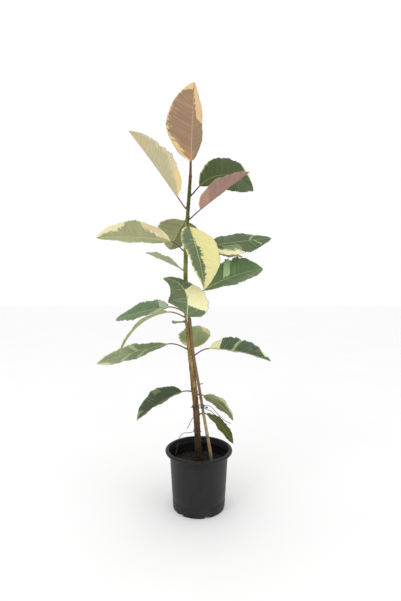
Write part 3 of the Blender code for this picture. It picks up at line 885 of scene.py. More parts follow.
RIGHT, LEFT = Side.RIGHT, Side.LEFT
WHOLE = ((0.0, 1.35), (1.0, 1.35))
NEARLY = ((0.0, 0.95), (0.5, 1.05), (1.0, 0.95))
LOOKS = {
    "leaf_top": LeafLook(
        right=((0.0, 0.35), (0.12, 0.55), (0.26, 0.78), (0.36, 1.0), (0.55, 0.98), (0.72, 1.0),
               (0.84, 1.1), (0.885, 0.9), (0.92, 0.1), (1.0, 0.0)),
        left=((0.0, 1.3), (0.52, 1.5), (0.58, 0.5), (0.7, 0.25), (0.85, 0.1), (1.0, 0.0)),
        deep=(122, 124, 84), slate=(152, 146, 108), cream=(234, 206, 150),
        under_deep=(152, 126, 100), under_slate=(160, 142, 104), under_cream=(228, 196, 144),
        rib=(196, 160, 124), under_rib=(206, 160, 122), stalk=(112, 72, 60),
        edge=(232, 216, 156), core=0.9, jag=1.0, lobe=0.2,
        strokes=(Stroke(RIGHT, 0.0, 0.10, (190, 138, 104), 0.0, 0.45, 0.6),
                 Stroke(LEFT, 0.0, 0.10, (190, 138, 104), 0.0, 0.6, 0.6))),
    "leaf_upper_left": LeafLook(
        left=((0.0, 0.6), (0.08, 0.5), (0.22, 0.55), (0.36, 0.9), (0.45, 1.3), (1.0, 1.3)),
        right=((0.0, 0.8), (0.3, 0.7), (1.0, 1.2)),
        deep=(126, 132, 88), slate=(162, 160, 122), cream=(240, 222, 166),
        under_deep=(190, 184, 146), under_slate=(210, 198, 168), under_cream=(234, 208, 150),
        rib=(190, 164, 122), under_rib=(186, 148, 122), stalk=(112, 76, 72),
        edge=(214, 196, 152), core=0.7, jag=0.5, lobe=0.3,
        strokes=(Stroke(LEFT, 0.80, 0.16, (208, 182, 146), 0.0, 0.6, 0.5),)),
    "leaf_upper_right_back": LeafLook(
        right=((0.0, 1.3), (0.7, 1.3), (0.9, 0.95), (1.0, 0.8)),
        left=((0.0, 0.75), (0.2, 0.95), (0.6, 1.2), (0.82, 0.7), (1.0, 0.9)),
        deep=(70, 84, 44), slate=(96, 112, 66), cream=(216, 212, 160), rib=(120, 130, 84),
        # stalk: near-black, a painted shadow over this leaf's stalk
        under_deep=(128, 116, 96), under_slate=(150, 136, 112), stalk=(24, 22, 22),
        edge=(120, 132, 88), core=1.0, jag=0.4),
    "leaf_upper_right_front": LeafLook(
        right=((0.0, 0.8), (0.3, 1.2), (1.0, 1.3)), left=NEARLY,
        deep=(104, 112, 72), slate=(136, 134, 98), cream=(232, 214, 164),
        under_deep=(158, 124, 114), under_slate=(178, 144, 130), under_cream=(228, 208, 168),
        rib=(176, 150, 116), under_rib=(142, 96, 96), stalk=(112, 68, 78),
        edge=(232, 214, 180), core=1.1, jag=0.35,
        strokes=(Stroke(RIGHT, 0.05, 0.16, (190, 152, 132), 0.0, 1.1, 0.6),)),
    "leaf_left_cream": LeafLook(
        left=((0.0, 0.3), (0.1, 0.25), (0.28, 0.45), (0.40, 0.8), (0.47, 1.3), (0.58, 1.2),
              (0.64, 0.7), (0.8, 0.5), (0.92, 0.4), (1.0, 0.3)),
        right=((0.0, 0.9), (1.0, 0.9)),
        deep=(108, 124, 86), slate=(148, 160, 120), cream=(255, 250, 208),
        under_deep=(164, 166, 124), under_slate=(192, 192, 154), under_cream=(248, 234, 186),
        under_rib=(206, 194, 148), stalk=(110, 84, 66), edge=(238, 222, 176),
        core=0.9, jag=0.8,
        strokes=(Stroke(LEFT, 0.16, 0.14, (230, 200, 160), 0.5, 1.1, 0.6),
                 Stroke(RIGHT, 0.5, 0.6, (186, 190, 146), 0.0, 1.1, 0.6))),
    "leaf_back_upper": LeafLook(
        right=WHOLE, left=((0.0, 1.1), (0.5, 1.0), (1.0, 1.1)),
        under_deep=(156, 158, 112), under_slate=(174, 178, 132), under_cream=(206, 196, 140),
        under_rib=(190, 178, 134), stalk=(112, 90, 64), edge=(206, 202, 150), core=0.8,
        # painted shade: the first stroke lays dark olive over the whole right half
        strokes=(Stroke(RIGHT, 0.5, 0.7, (106, 108, 66), 0.0, 1.1, 0.8),
                 Stroke(LEFT, 0.0, 0.16, (182, 160, 128), 0.0, 0.8, 0.5))),
    "leaf_front_hanging": LeafLook(
        right=((0.0, 0.5), (0.06, 0.8), (0.14, 0.86), (0.3, 0.92), (0.8, 0.9), (1.0, 0.7)),
        left=((0.0, 0.0), (0.3, 0.04), (0.5, 0.16), (0.66, 0.26), (0.8, 0.2), (1.0, 0.0)),
        deep=(92, 112, 78), slate=(128, 142, 102), cream=(230, 222, 154),
        rib=(190, 196, 144), edge=(244, 240, 206), core=0.95, jag=0.6, lobe=0.25,
        specks=0.7, under_cream=(220, 210, 158)),
    "leaf_right_upper": LeafLook(
        right=((0.0, 0.3), (0.2, 0.55), (0.42, 0.62), (0.5, 1.0), (0.7, 1.3), (1.0, 1.3)),
        left=WHOLE, deep=(86, 102, 66), slate=(112, 128, 88), cream=(242, 236, 184),
        rib=(150, 164, 120), edge=(120, 134, 96), core=1.0, jag=0.7,
        strokes=(Stroke(LEFT, 0.66, 0.016, (168, 182, 146), 0.0, 0.9, 0.8),
                 Stroke(RIGHT, 0.72, 0.014, (168, 182, 146), 0.0, 0.8, 0.8),
                 Stroke(RIGHT, 0.3, 0.12, (146, 158, 118), 0.2, 0.7, 0.6))),
    # painted shade: this leaf, lying behind its neighbours, is dull olive-tan on both sides
    "leaf_right_behind": LeafLook(
        right=WHOLE, left=WHOLE, deep=(150, 138, 98), slate=(164, 152, 110),
        under_deep=(150, 138, 98), under_slate=(164, 152, 110), edge=(176, 166, 120)),
    "leaf_right_middle": LeafLook(
        left=((0.0, 0.3), (0.15, 0.5), (0.26, 0.7), (0.34, 1.0), (0.5, 1.3), (1.0, 1.25)),
        right=((0.0, 0.8), (0.2, 1.1), (1.0, 1.2)), deep=(98, 124, 82),
        slate=(126, 150, 106), cream=(242, 240, 196), rib=(172, 190, 142),
        edge=(176, 190, 150), core=1.1, jag=0.8,
        strokes=(Stroke(LEFT, 0.40, 0.055, (176, 202, 156), 0.12, 0.95, 0.95),
                 Stroke(RIGHT, 0.5, 0.45, (124, 138, 106), 0.0, 1.1, 0.5))),
    "leaf_left_small": LeafLook(
        right=NEARLY, left=NEARLY, deep=(150, 154, 122), slate=(182, 182, 150),
        under_deep=(172, 172, 142), under_slate=(194, 192, 164), stalk=(150, 146, 116)),
    "leaf_front_middle": LeafLook(
        left=((0.0, 0.9), (0.3, 1.2), (1.0, 1.2)),
        right=((0.0, 1.4), (0.10, 1.4), (0.18, 0.5), (0.24, 0.0), (0.52, 0.0), (0.60, 1.3),
               (1.0, 1.3)),
        deep=(98, 114, 80), slate=(122, 138, 102), cream=(244, 239, 186),
        rib=(196, 202, 156), edge=(206, 206, 162), core=1.0, jag=0.45, lobe=0.2,
        stalk=(206, 206, 164)),
    "leaf_left_arching": LeafLook(
        right=((0.0, 0.9), (0.3, 1.2), (1.0, 1.3)), left=NEARLY, deep=(84, 102, 64),
        slate=(112, 130, 88), rib=(190, 198, 150), stalk=(112, 84, 70), core=1.0,
        under_deep=(162, 170, 122), under_slate=(178, 184, 138),
        strokes=(Stroke(LEFT, 0.5, 0.7, (172, 180, 132), 0.0, 1.1, 0.85),)),
    "leaf_left_back": LeafLook(
        right=WHOLE, left=WHOLE, deep=(96, 120, 78), slate=(120, 140, 98),
        rib=(176, 190, 146), edge=(140, 156, 116), core=1.1, jag=0.7,
        strokes=(Stroke(RIGHT, 0.06, 0.09, (184, 200, 164), 0.1, 0.9, 0.8),
                 Stroke(LEFT, 0.06, 0.09, (184, 200, 164), 0.1, 0.9, 0.8))),
    "leaf_left_long": LeafLook(
        right=((0.0, 1.1), (0.7, 1.1), (0.9, 0.7), (1.0, 0.3)),
        left=((0.0, 1.1), (0.7, 1.1), (0.86, 0.6), (1.0, 0.3)), deep=(130, 142, 108),
        slate=(156, 166, 130), cream=(206, 208, 156), rib=(186, 192, 142),
        stalk=(112, 84, 74), edge=(170, 174, 132), core=0.9, jag=0.6,
        strokes=(Stroke(LEFT, 0.30, 0.03, (196, 204, 166), 0.0, 1.1, 0.6),
                 Stroke(LEFT, 0.52, 0.03, (196, 204, 166), 0.0, 1.1, 0.6),
                 Stroke(RIGHT, 0.42, 0.03, (196, 204, 166), 0.0, 1.1, 0.6))),
    "leaf_back_small": LeafLook(
        right=WHOLE, left=NEARLY, deep=(84, 104, 72), slate=(116, 134, 98)),
    "leaf_back_lower": LeafLook(
        right=((0.0, 0.7), (0.2, 1.1), (0.5, 0.9), (0.62, 0.55), (1.0, 0.5)),
        left=((0.0, 0.4), (0.2, 0.8), (0.4, 1.2), (1.0, 1.2)), deep=(138, 154, 96),
        slate=(160, 170, 118), cream=(218, 204, 150), under_deep=(142, 158, 100),
        under_slate=(162, 168, 116), under_cream=(212, 198, 148), edge=(214, 204, 152),
        jag=0.8),
    "leaf_right_long": LeafLook(
        left=((0.0, 0.0), (0.16, 0.0), (0.22, 1.3), (0.76, 1.3), (0.83, 0.7), (0.9, 0.5),
              (0.95, 1.1), (1.0, 1.1)),
        right=((0.0, 0.4), (0.3, 1.0), (1.0, 1.1)), deep=(76, 96, 70), slate=(102, 120, 86),
        cream=(240, 236, 188), rib=(176, 184, 146), stalk=(96, 74, 66),
        edge=(150, 166, 126), core=1.15, jag=0.6, lobe=0.3,
        strokes=(Stroke(LEFT, 0.37, 0.022, (158, 176, 134)),
                 Stroke(RIGHT, 0.5, 0.5, (176, 172, 134), 0.0, 1.1, 0.7))),
    "leaf_low_left": LeafLook(
        right=((0.0, 1.3), (0.84, 1.3), (0.92, 0.5), (1.0, 0.2)), left=NEARLY,
        deep=(66, 80, 58), slate=(90, 104, 74), cream=(160, 170, 126), rib=(150, 158, 118),
        stalk=(104, 100, 72), edge=(116, 128, 94), core=1.15, jag=0.7,
        strokes=(Stroke(RIGHT, 0.34, 0.07, (118, 130, 92), 0.62, 1.1, 0.8),
                 Stroke(RIGHT, 0.82, 0.05, (134, 146, 108), 0.3, 0.9, 0.7))),
    "leaf_low_right": LeafLook(
        right=WHOLE, left=((0.0, 0.7), (0.5, 0.6), (1.0, 0.6)), deep=(96, 104, 66),
        slate=(138, 146, 108), cream=(178, 184, 146), rib=(168, 162, 116),
        under_deep=(120, 118, 78), under_slate=(140, 138, 96), stalk=(112, 98, 66),
        edge=(160, 160, 116), core=0.5,
        strokes=(Stroke(RIGHT, 0.5, 0.7, (102, 98, 62), 0.0, 1.1, 0.85),)),
    "leaf_low_drooping": LeafLook(
        right=WHOLE, left=WHOLE, deep=(74, 76, 10), slate=(90, 92, 20), cream=(130, 126, 60),
        rib=(116, 112, 48), under_deep=(104, 104, 48), under_slate=(118, 118, 58),
        under_rib=(130, 126, 66), stalk=(70, 60, 32), edge=(104, 100, 44), core=1.0),
}
BLUSHING = ("leaf_top", "leaf_upper_left", "leaf_upper_right_front")
TOOTH_SIZES = {"leaf_left_back": 0.12, "leaf_right_middle": 0.08, "leaf_right_long": 0.08,
               "leaf_left_long": 0.07, "leaf_low_left": 0.065, "leaf_top": 0.012,
               "leaf_front_hanging": 0.012, "leaf_low_drooping": 0.012}


def leaf_frame(heading: float, pitch: float, roll: float) -> tuple[np.ndarray, ...]:
    """Directions of a leaf at one place.

    Args:
        heading: Degrees round from +X.
        pitch: Degrees up from level.
        roll: Degrees turned about the leaf's own line.

    Returns:
        Unit vectors along the leaf, to its right and out of its top.
    """
    h, e, r = math.radians(heading), math.radians(pitch), math.radians(roll)
    along = np.array((math.cos(e) * math.cos(h), math.cos(e) * math.sin(h), math.sin(e)))
    right = np.array((math.sin(h), -math.cos(h), 0.0))
    top = np.cross(right, along)
    return (along, math.cos(r) * right + math.sin(r) * top,
            math.cos(r) * top - math.sin(r) * right)


@dataclass
class RubberLeaf:
    """One leaf: a round stalk that runs on as the midrib of a thin, folded blade."""

    plan: LeafPlan
    look: LeafLook
    number: int
    stalk_radius: float = 0.0021
    tip_stalk_radius: float = 0.0040
    steep: float = 80.0
    stalk_steps: int = 5
    blade_steps: int = 13
    stalk_rings: int = 14
    blade_rings: int = 150
    columns: int = 26               # points from midrib to edge
    skin: float = 0.0006            # half the blade's thickness
    tip_half_width: float = 0.0006

    def __post_init__(self) -> None:
        """Work out what depends on the plan."""
        self.on_tip = self.plan.rise > self.steep
        self.radius = self.tip_stalk_radius if self.on_tip else self.stalk_radius
        self.tooth = TOOTH_SIZES.get(self.plan.name, 0.045)

    def route(self, stem: "Stem") -> np.ndarray:
        """Middle points of stalk and blade, spaced as in the CAD model."""
        plan = self.plan
        centre, stem_radius = stem.at(plan.height)
        if self.on_tip:
            place = centre - np.array((0.0, 0.0, 0.002))
        else:
            heading = math.radians(plan.heading)
            away = np.array((math.cos(heading), math.sin(heading), 0.0))
            place = centre + away * (stem_radius + self.radius
                                     * abs(math.sin(math.radians(plan.rise))))
        points = [place]
        for k in range(self.stalk_steps):
            share = k / self.stalk_steps
            along = leaf_frame(plan.heading, self.stalk_pitch(share), 0.0)[0]
            points.append(points[-1] + along * plan.stalk / self.stalk_steps)
        for k in range(self.blade_steps):
            middle = (k + 0.5) / self.blade_steps
            along = leaf_frame(plan.heading + plan.veer * middle,
                               plan.pitch - plan.droop * middle, 0.0)[0]
            points.append(points[-1] + along * plan.length / self.blade_steps)
        if not self.on_tip:
            points[0] = points[0] - away * 0.002
        return np.array(points)

    def stalk_pitch(self, share: float) -> float:
        """Steepness at a share of the stalk."""
        return self.plan.rise + (self.plan.pitch - self.plan.rise) * share ** 1.5

    def half_width(self, share: float) -> float:
        """Half the blade's width at a share of its length."""
        oval = math.sin(math.pi * min(share, 1.0) ** self.plan.belly) if share > 0 else 0.0
        return max(self.tip_half_width, self.plan.width / 2 * max(oval, 0.0) ** 0.72)

    def stalk_ring(self, share: float, across: np.ndarray, upper: np.ndarray) -> np.ndarray:
        """Ring of the stalk as offsets to the right and upwards."""
        swell = 1.0 + 0.35 * math.exp(-(share / 0.10) ** 2) + 0.12 * share ** 4
        thick = self.radius * (1.0 - 0.25 * share) * swell
        rise = np.sqrt(np.maximum(1.0 - across ** 2, 0.0)) * upper
        groove = np.where(upper > 0, 0.25 * np.exp(-(across / 0.35) ** 2), 0.0)
        return np.stack((thick * across, thick * (rise - groove)), axis=1)

    def blade_ring(self, share: float, across: np.ndarray, upper: np.ndarray) -> np.ndarray:
        """Ring of the blade as offsets to the right and upwards."""
        plan = self.plan
        half = self.half_width(share)
        side = np.where(across >= 0, 1.0, -1.0)
        reach = np.abs(across)
        teeth = self.teeth(share, side)
        out = across * half * (1.0 + teeth * reach)
        fold = math.radians(plan.fold)
        crease = 0.003
        lift = (np.sqrt(out ** 2 + crease ** 2) - crease) * math.sin(fold)
        bow = 0.04 * half * (1 - (2 * reach - 1) ** 2)
        body = math.sin(math.pi * share) ** 0.5 if 0 < share < 1 else 0.0
        phase = self.number * 1.7 + side * 0.9
        wave = 0.0022 * body * reach ** 2 * np.sin(2 * math.pi * (2.6 * share) + phase)
        crimp = 0.0007 * body * reach ** 3 * np.sin(2 * math.pi * 9.0 * share + 2.1 * phase)
        veins = VEINS / 2 * (share - VEIN_SLANT * reach)
        quilt = 0.00022 * body * np.sin(math.pi * reach) * np.cos(2 * math.pi * veins)
        skin = np.minimum(self.skin * (1.0 - 0.55 * reach ** 4), half / 2)
        rim = np.abs(across) > 0.999
        skin = np.where(rim, 0.0, skin)
        ridge_width = self.radius * (0.85 - 0.45 * share)
        ridge = 0.75 * self.radius * (1.0 - share) * np.exp(-(out / ridge_width) ** 2)
        groove = 0.0006 * (1.0 - share) * np.exp(-(out / 0.0013) ** 2)
        height = lift + bow + wave + crimp + quilt + upper * skin
        height += np.where(upper > 0, -groove, -ridge)
        return np.stack((out * math.cos(fold), height), axis=1)

    def teeth(self, share: float, side: np.ndarray) -> np.ndarray:
        """Uneven lobes and fine saw teeth of the edge at a share of the length, by side."""
        if not 0 < share < 1:
            return np.zeros(len(side))
        bites = []
        for sign in (1, -1):
            places = np.array([share])
            seed = self.number * 2 + (sign > 0)
            coarse = ripples(50 + seed, 4, 4.0, 10.0, places)[0]
            fine = ripples(150 + seed, 4, 14.0, 24.0, places)[0]
            saw = (share * self.plan.length / 0.0052 + 0.4 * coarse) % 1.0 - 0.5
            bites.append(self.tooth * (0.75 * coarse + 0.5 * fine + 0.9 * saw))
        return np.where(side > 0, bites[0], bites[1]) * math.sin(math.pi * share) ** 0.4

    def build(self, stem: "Stem") -> bpy.types.Object:
        """Make the leaf and dress it.

        Args:
            stem: The stem that it grows on.

        Returns:
            The leaf.
        """
        plan = self.plan
        half = np.linspace(1.0, 0.0, self.columns + 1) ** 1.5
        row = np.concatenate((half, -half[-2::-1]))
        across = np.concatenate((row, row[-2:0:-1]))
        upper = np.concatenate((np.ones(len(row)), -np.ones(len(row) - 2)))
        route = self.route(stem)
        shares = [(-1.0, k / self.stalk_rings) for k in range(self.stalk_rings)]
        shares += [(1.0, k / self.blade_rings) for k in range(self.blade_rings + 1)]
        rings, off_rib = [], []
        for part, share in shares:
            if part < 0:
                spot = share * self.stalk_steps
                right, top = leaf_frame(plan.heading, self.stalk_pitch(share),
                                        plan.roll * share)[1:]
                layout = self.stalk_ring(share, across, upper)
            else:
                spot = self.stalk_steps + share * self.blade_steps
                right, top = leaf_frame(plan.heading + plan.veer * share,
                                        plan.pitch - plan.droop * share, plan.roll)[1:]
                layout = self.blade_ring(share, across, upper)
                blend = smooth(share, -0.004, 0.055)
                layout = blend * layout + (1 - blend) * self.stalk_ring(1.0, across, upper)
            place = along_route(route, np.array([spot]))[0]
            rings.append(place + layout[:, :1] * right + layout[:, 1:] * top)
            off_rib.append(np.abs(layout[:, 0]) if part > 0 else np.zeros(len(across)))
        mesh = ring_mesh(plan.name, np.array(rings))
        self.store_measures(mesh, shares, across, np.array(off_rib), len(row))
        material = LeafSkin(f"{plan.name}_skin", self.look, self.number * 4.3).build()
        piece = add_piece(f"{plan.name}_blade", mesh, material)
        slot = "leaf_blush" if plan.name in BLUSHING else "leaf_green"
        hand_over(piece, slot, plan.name)
        return piece

    @staticmethod
    def store_measures(mesh: bpy.types.Mesh, shares: list[tuple[float, float]],
                       across: np.ndarray, off_rib: np.ndarray, top_points: int) -> None:
        """Keep on the mesh what the leaf's finish reads.

        Args:
            mesh: The leaf's mesh.
            shares: For each ring, its part and its share of that part.
            across: Place of each ring point from edge to edge, 1 to -1.
            off_rib: Distance of each point from the midrib.
            top_points: How many points of a ring lie on the upper side.
        """
        along = np.array([share if part > 0 else (share - 1.0) * 0.25
                          for part, share in shares])
        count, around = len(shares), len(across)
        store(mesh, "across", np.concatenate((np.tile(across, count), (0.0, 0.0))))
        store(mesh, "along", np.concatenate((np.repeat(along, around), (along[0], along[-1]))))
        store(mesh, "off_rib", np.concatenate((off_rib.ravel(), (0.0, 0.0))))
        lower = (np.arange(around) >= top_points - 1).astype(float)
        ends = np.repeat(lower, 2)
        store(mesh, "under", np.concatenate((np.tile(lower, count - 1), ends)), "FACE")


# ------------------------------------------------------------------ stem

SOIL_LEVEL = 0.136


@dataclass
class Stem:
    """The stem: its middle line, its relief of scars and buds, and its bark."""

    line: tuple[Point, ...] = (
        (0.060, 0.0010, 0.0095), (0.125, 0.0010, 0.0103), (0.187, -0.0020, 0.0096),
        (0.233, -0.0045, 0.0093), (0.289, -0.0078, 0.0091), (0.325, -0.0105, 0.0089),
        (0.386, -0.0163, 0.0087), (0.458, -0.0237, 0.0084), (0.535, -0.0300, 0.0081),
        (0.594, -0.0345, 0.0076), (0.652, -0.0373, 0.0066), (0.693, -0.0384, 0.0063),
        (0.768, -0.0373, 0.0060), (0.853, -0.0330, 0.0055), (0.924, -0.0275, 0.0050),
        (0.977, -0.0237, 0.0045))       # (height, place to the right, radius)
    rows: int = 440
    sides: int = 44
    scar_heights: tuple[float, ...] = (0.158, 0.181, 0.207, 0.236, 0.258, 0.305, 0.330, 0.372,
                                       0.398, 0.421, 0.446, 0.503, 0.527, 0.612, 0.648, 0.676,
                                       0.735, 0.802, 0.900, 0.943)
    bud_heading: float = 5.0
    bud_height: float = 0.650

    def at(self, height: float) -> tuple[np.ndarray, float]:
        """Middle of the stem and its radius at a height."""
        heights = [row[0] for row in self.line]
        x = np.interp(height, heights, [row[1] for row in self.line])
        radius = np.interp(height, heights, [row[2] for row in self.line])
        return np.array((x, 0.0, height)), float(radius)

    def relief(self, height: float, turns: np.ndarray, radius: float) -> np.ndarray:
        """How far the bark stands out at a height, round the stem."""
        woody = float(smooth(height, 0.62, 0.45))
        where = np.stack((np.full(len(turns), height * 30.0), np.cos(turns), np.sin(turns)), 1)
        lumps = ripples(7, 6, 0.1, 0.5, where) * 0.045
        where[:, 0] = height * 14.0
        fibres = ripples(8, 8, 0.6, 1.6, where) * (0.012 + 0.034 * woody)
        out = radius * (lumps + fibres)
        for scar in self.scar_heights + tuple(plan.height for plan in LEAF_PLANS):
            gap = height - scar - 0.0012 * math.sin(40.0 * scar) * np.cos(turns)
            out += radius * 0.10 * np.exp(-(gap / 0.0022) ** 2)
            out -= radius * 0.07 * np.exp(-((gap - 0.0040) / 0.0012) ** 2)
        for plan in LEAF_PLANS:
            out += self.bud(height, turns, plan.heading, plan.height + 0.006, 0.0011)
        out += self.bud(height, turns, self.bud_heading, self.bud_height, 0.0034)
        return out

    @staticmethod
    def bud(height: float, turns: np.ndarray, heading: float, level: float,
            depth: float) -> np.ndarray:
        """A small pointed swelling on one side of the stem."""
        side = np.cos(turns - math.radians(heading))
        near = np.exp(-((height - level) / 0.0042) ** 2)
        return depth * near * np.exp(-((1.0 - side) / 0.16) ** 2)

    def build(self) -> bpy.types.Object:
        """Make the stem, dress it and stud its bark with lenticels."""
        low, high = self.line[0][0], self.line[-1][0]
        turns = np.linspace(0.0, 2 * math.pi, self.sides, endpoint=False)
        rings = []
        for k in range(self.rows + 1):
            height = low + (high - low) * k / self.rows
            centre, radius = self.at(height)
            out = radius + self.relief(height, turns, radius)
            rings.append(level_ring(out, turns, height, centre[0]))
        mesh = ring_mesh("stem_bark", np.array(rings))
        heights = np.array([vertex.co.z for vertex in mesh.vertices])
        woody = np.clip((0.66 - heights) / 0.2, 0.0, 1.0) * (heights > SOIL_LEVEL)
        store(mesh, "strewn", woody * (heights < high - 0.01))
        host = mesh.copy()
        piece = add_piece("stem_bark", mesh, Bark().build())
        hand_over(piece, "bark", "stem")
        spots = strewing_recipe(Lie.FLUSH).make(
            "stem_lenticels", host,
            {"Density": 22000.0, "Smallest": (0.0004, 0.0003, 0.00015),
             "Largest": (0.0010, 0.0006, 0.00030), "Seed": 11,
             "Finish": Crumb("lenticels", (150, 122, 84), (196, 170, 128)).build()})
        spots.data.shade_smooth()
        hand_over(spots, "bark")
        return piece


# ------------------------------------------------------------------ cane and wires

@dataclass
class Cane:
    """The bamboo cane: a slowly thinning rod with its nodes and one cut spur."""

    route: tuple[Point, ...] = (
        (0.0500, 0.0130, 0.0500), (0.0385, 0.0100, 0.1380), (0.0170, 0.0040, 0.2640),
        (-0.0005, -0.0040, 0.3730), (-0.0150, -0.0110, 0.4650), (-0.0257, -0.0125, 0.5720))
    foot_radius: float = 0.0052
    top_radius: float = 0.0035
    nodes: tuple[float, ...] = (0.15, 0.33, 0.52, 0.71, 0.88)
    rows: int = 260

    def at(self, height: float) -> np.ndarray:
        """Middle of the cane at a height."""
        fine = along_route(np.array(self.route), np.linspace(0.0, 5.0, 41))
        return np.array((np.interp(height, fine[:, 2], fine[:, 0]),
                         np.interp(height, fine[:, 2], fine[:, 1]), height))

    def build(self, tubes: Recipe) -> bpy.types.Object:
        """Make the cane and dress it."""
        shares = np.linspace(0.0, 1.0, self.rows)
        points = along_route(np.array(self.route), shares * (len(self.route) - 1))
        radii = self.foot_radius + (self.top_radius - self.foot_radius) * shares
        for node in self.nodes:
            radii *= 1.0 + 0.13 * np.exp(-((shares - node) / 0.006) ** 2)
            radii *= 1.0 - 0.06 * np.exp(-((shares - node - 0.012) / 0.004) ** 2)
        radii *= 1.0 + 0.02 * ripples(21, 5, 3.0, 12.0, shares)
        start = self.at(0.3745) + np.array((0.003, -0.002, 0.0))
        spur = np.array([start + np.array((0.010, -0.003, 0.0035)) * t
                         for t in np.linspace(0, 1, 9)])
        spur_radii = np.linspace(0.0017, 0.0011, 9)
        host = path_mesh("bamboo_cane_rod", ((points, radii), (spur, spur_radii)))
        piece = tubes.make("bamboo_cane_rod", host, {"Sides": 22, "Thickness Factor": 1.0,
                                                     "Finish": Bamboo().build()})
        turn_outwards(piece.data)
        piece.data.shade_smooth()
        piece.data.set_sharp_from_angle(angle=math.radians(50))
        hand_over(piece, "bamboo", "bamboo_cane")
        return piece


@dataclass
class Wires:
    """The tie round stem and cane, and the wire that runs down into the pot."""

    stem: Stem
    cane: Cane
    radius: float = 0.0009
    clearance: float = 0.0009       # between a wire's coat and what it goes round
    turn_step: float = 24.0         # degrees between two points of a winding
    first_end: tuple[Point, ...] = (
        (0.0930, -0.0300, 0.2640), (0.0760, -0.0290, 0.2730), (0.0560, -0.0260, 0.2900),
        (0.0440, -0.0230, 0.3040), (0.0320, -0.0190, 0.3130), (0.0210, -0.0130, 0.3120))
    second_end: tuple[Point, ...] = (
        (0.0240, -0.0130, 0.3000), (0.0340, -0.0180, 0.2980), (0.0480, -0.0230, 0.2880),
        (0.0660, -0.0270, 0.2720), (0.0830, -0.0290, 0.2600))
    low_end: tuple[Point, ...] = (
        (-0.0190, 0.0090, 0.2240), (-0.0330, 0.0180, 0.2180), (-0.0470, 0.0300, 0.2120),
        (-0.0600, 0.0400, 0.1950), (-0.0640, 0.0380, 0.1780), (-0.0680, 0.0300, 0.1600),
        (-0.0720, 0.0220, 0.1460))

    def winding(self, low: float, high: float, first: float,
                last: float) -> list[tuple[float, ...]]:
        """Turns round stem and cane together, from one height and angle to another."""
        spare = self.radius + self.clearance
        count = round(abs(last - first) / self.turn_step)
        route = []
        for k in range(count + 1):
            height = low + (high - low) * k / count
            middle, stem_radius = self.stem.at(height)
            cane = self.cane.at(height)
            turn = math.radians(first + (last - first) * k / count)
            out = np.array((math.cos(turn), math.sin(turn), 0.0))
            cane_first = np.dot(cane - middle, out) + self.cane.foot_radius > stem_radius
            centre = cane if cane_first else middle
            reach = (self.cane.foot_radius if cane_first else stem_radius) + spare
            route.append(tuple(centre + reach * out))
        return route

    def knot(self) -> np.ndarray:
        """A tight twist of the tie where its two ends meet by the cane."""
        points = []
        for k in range(61):
            turn = 2 * math.pi * 4 * k / 60
            points.append((0.0195 + 0.007 * k / 60, -0.0135 + 0.0016 * math.cos(turn),
                           0.3065 + 0.0016 * math.sin(turn)))
        return np.array(points)

    def build(self, tubes: Recipe) -> None:
        """Make both wires and dress them."""
        steel = TieWire().build()
        tie = list(self.first_end) + self.winding(0.3095, 0.3025, -40.0, 680.0)
        tie = self.fine(tie + list(self.second_end))
        stub = self.fine([(-0.0125, -0.0075, 0.3060), (-0.0185, -0.0085, 0.3062),
                          (-0.0240, -0.0080, 0.3050)])
        loose = self.fine([(-0.0160, -0.0080, 0.2760), (-0.0230, -0.0090, 0.2640),
                           (-0.0290, -0.0080, 0.2520), (-0.0350, -0.0060, 0.2400)])
        low_turns = []
        for k in range(15):
            middle, stem_radius = self.stem.at(0.2260 + 0.0005 * k)
            turn = math.radians(130.0 - self.turn_step * k)
            reach = stem_radius + self.radius + self.clearance
            low_turns.append(tuple(middle + reach * np.array((math.cos(turn),
                                                              math.sin(turn), 0.0))))
        down = self.fine(low_turns[::-1] + list(self.low_end))
        for name, slot_node, routes in (
                ("tie_wire_wound", "tie_wire", (tie, self.knot(), stub, loose)),
                ("pot_wire_bent", "pot_wire", (down,))):
            sized = [(route, self.thickness(route)) for route in routes]
            piece = tubes.make(name, path_mesh(name, sized),
                               {"Sides": 8, "Thickness Factor": 1.0, "Finish": steel})
            turn_outwards(piece.data)
            piece.data.shade_smooth()
            hand_over(piece, "wire", slot_node)

    def thickness(self, route: np.ndarray) -> np.ndarray:
        """Radius along a wire, a blunt bead on the end of the short stub."""
        radii = np.full(len(route), self.radius)
        if len(route) < 20:
            radii[-3:] = self.radius * np.array((1.7, 2.2, 1.5))
        return radii

    @staticmethod
    def fine(points: list[Point]) -> np.ndarray:
        """A smooth run through wire points, eight steps to each."""
        steps = (len(points) - 1) * 8
        return along_route(np.array(points), np.linspace(0, len(points) - 1, steps + 1))


# ------------------------------------------------------------------ pot and mix

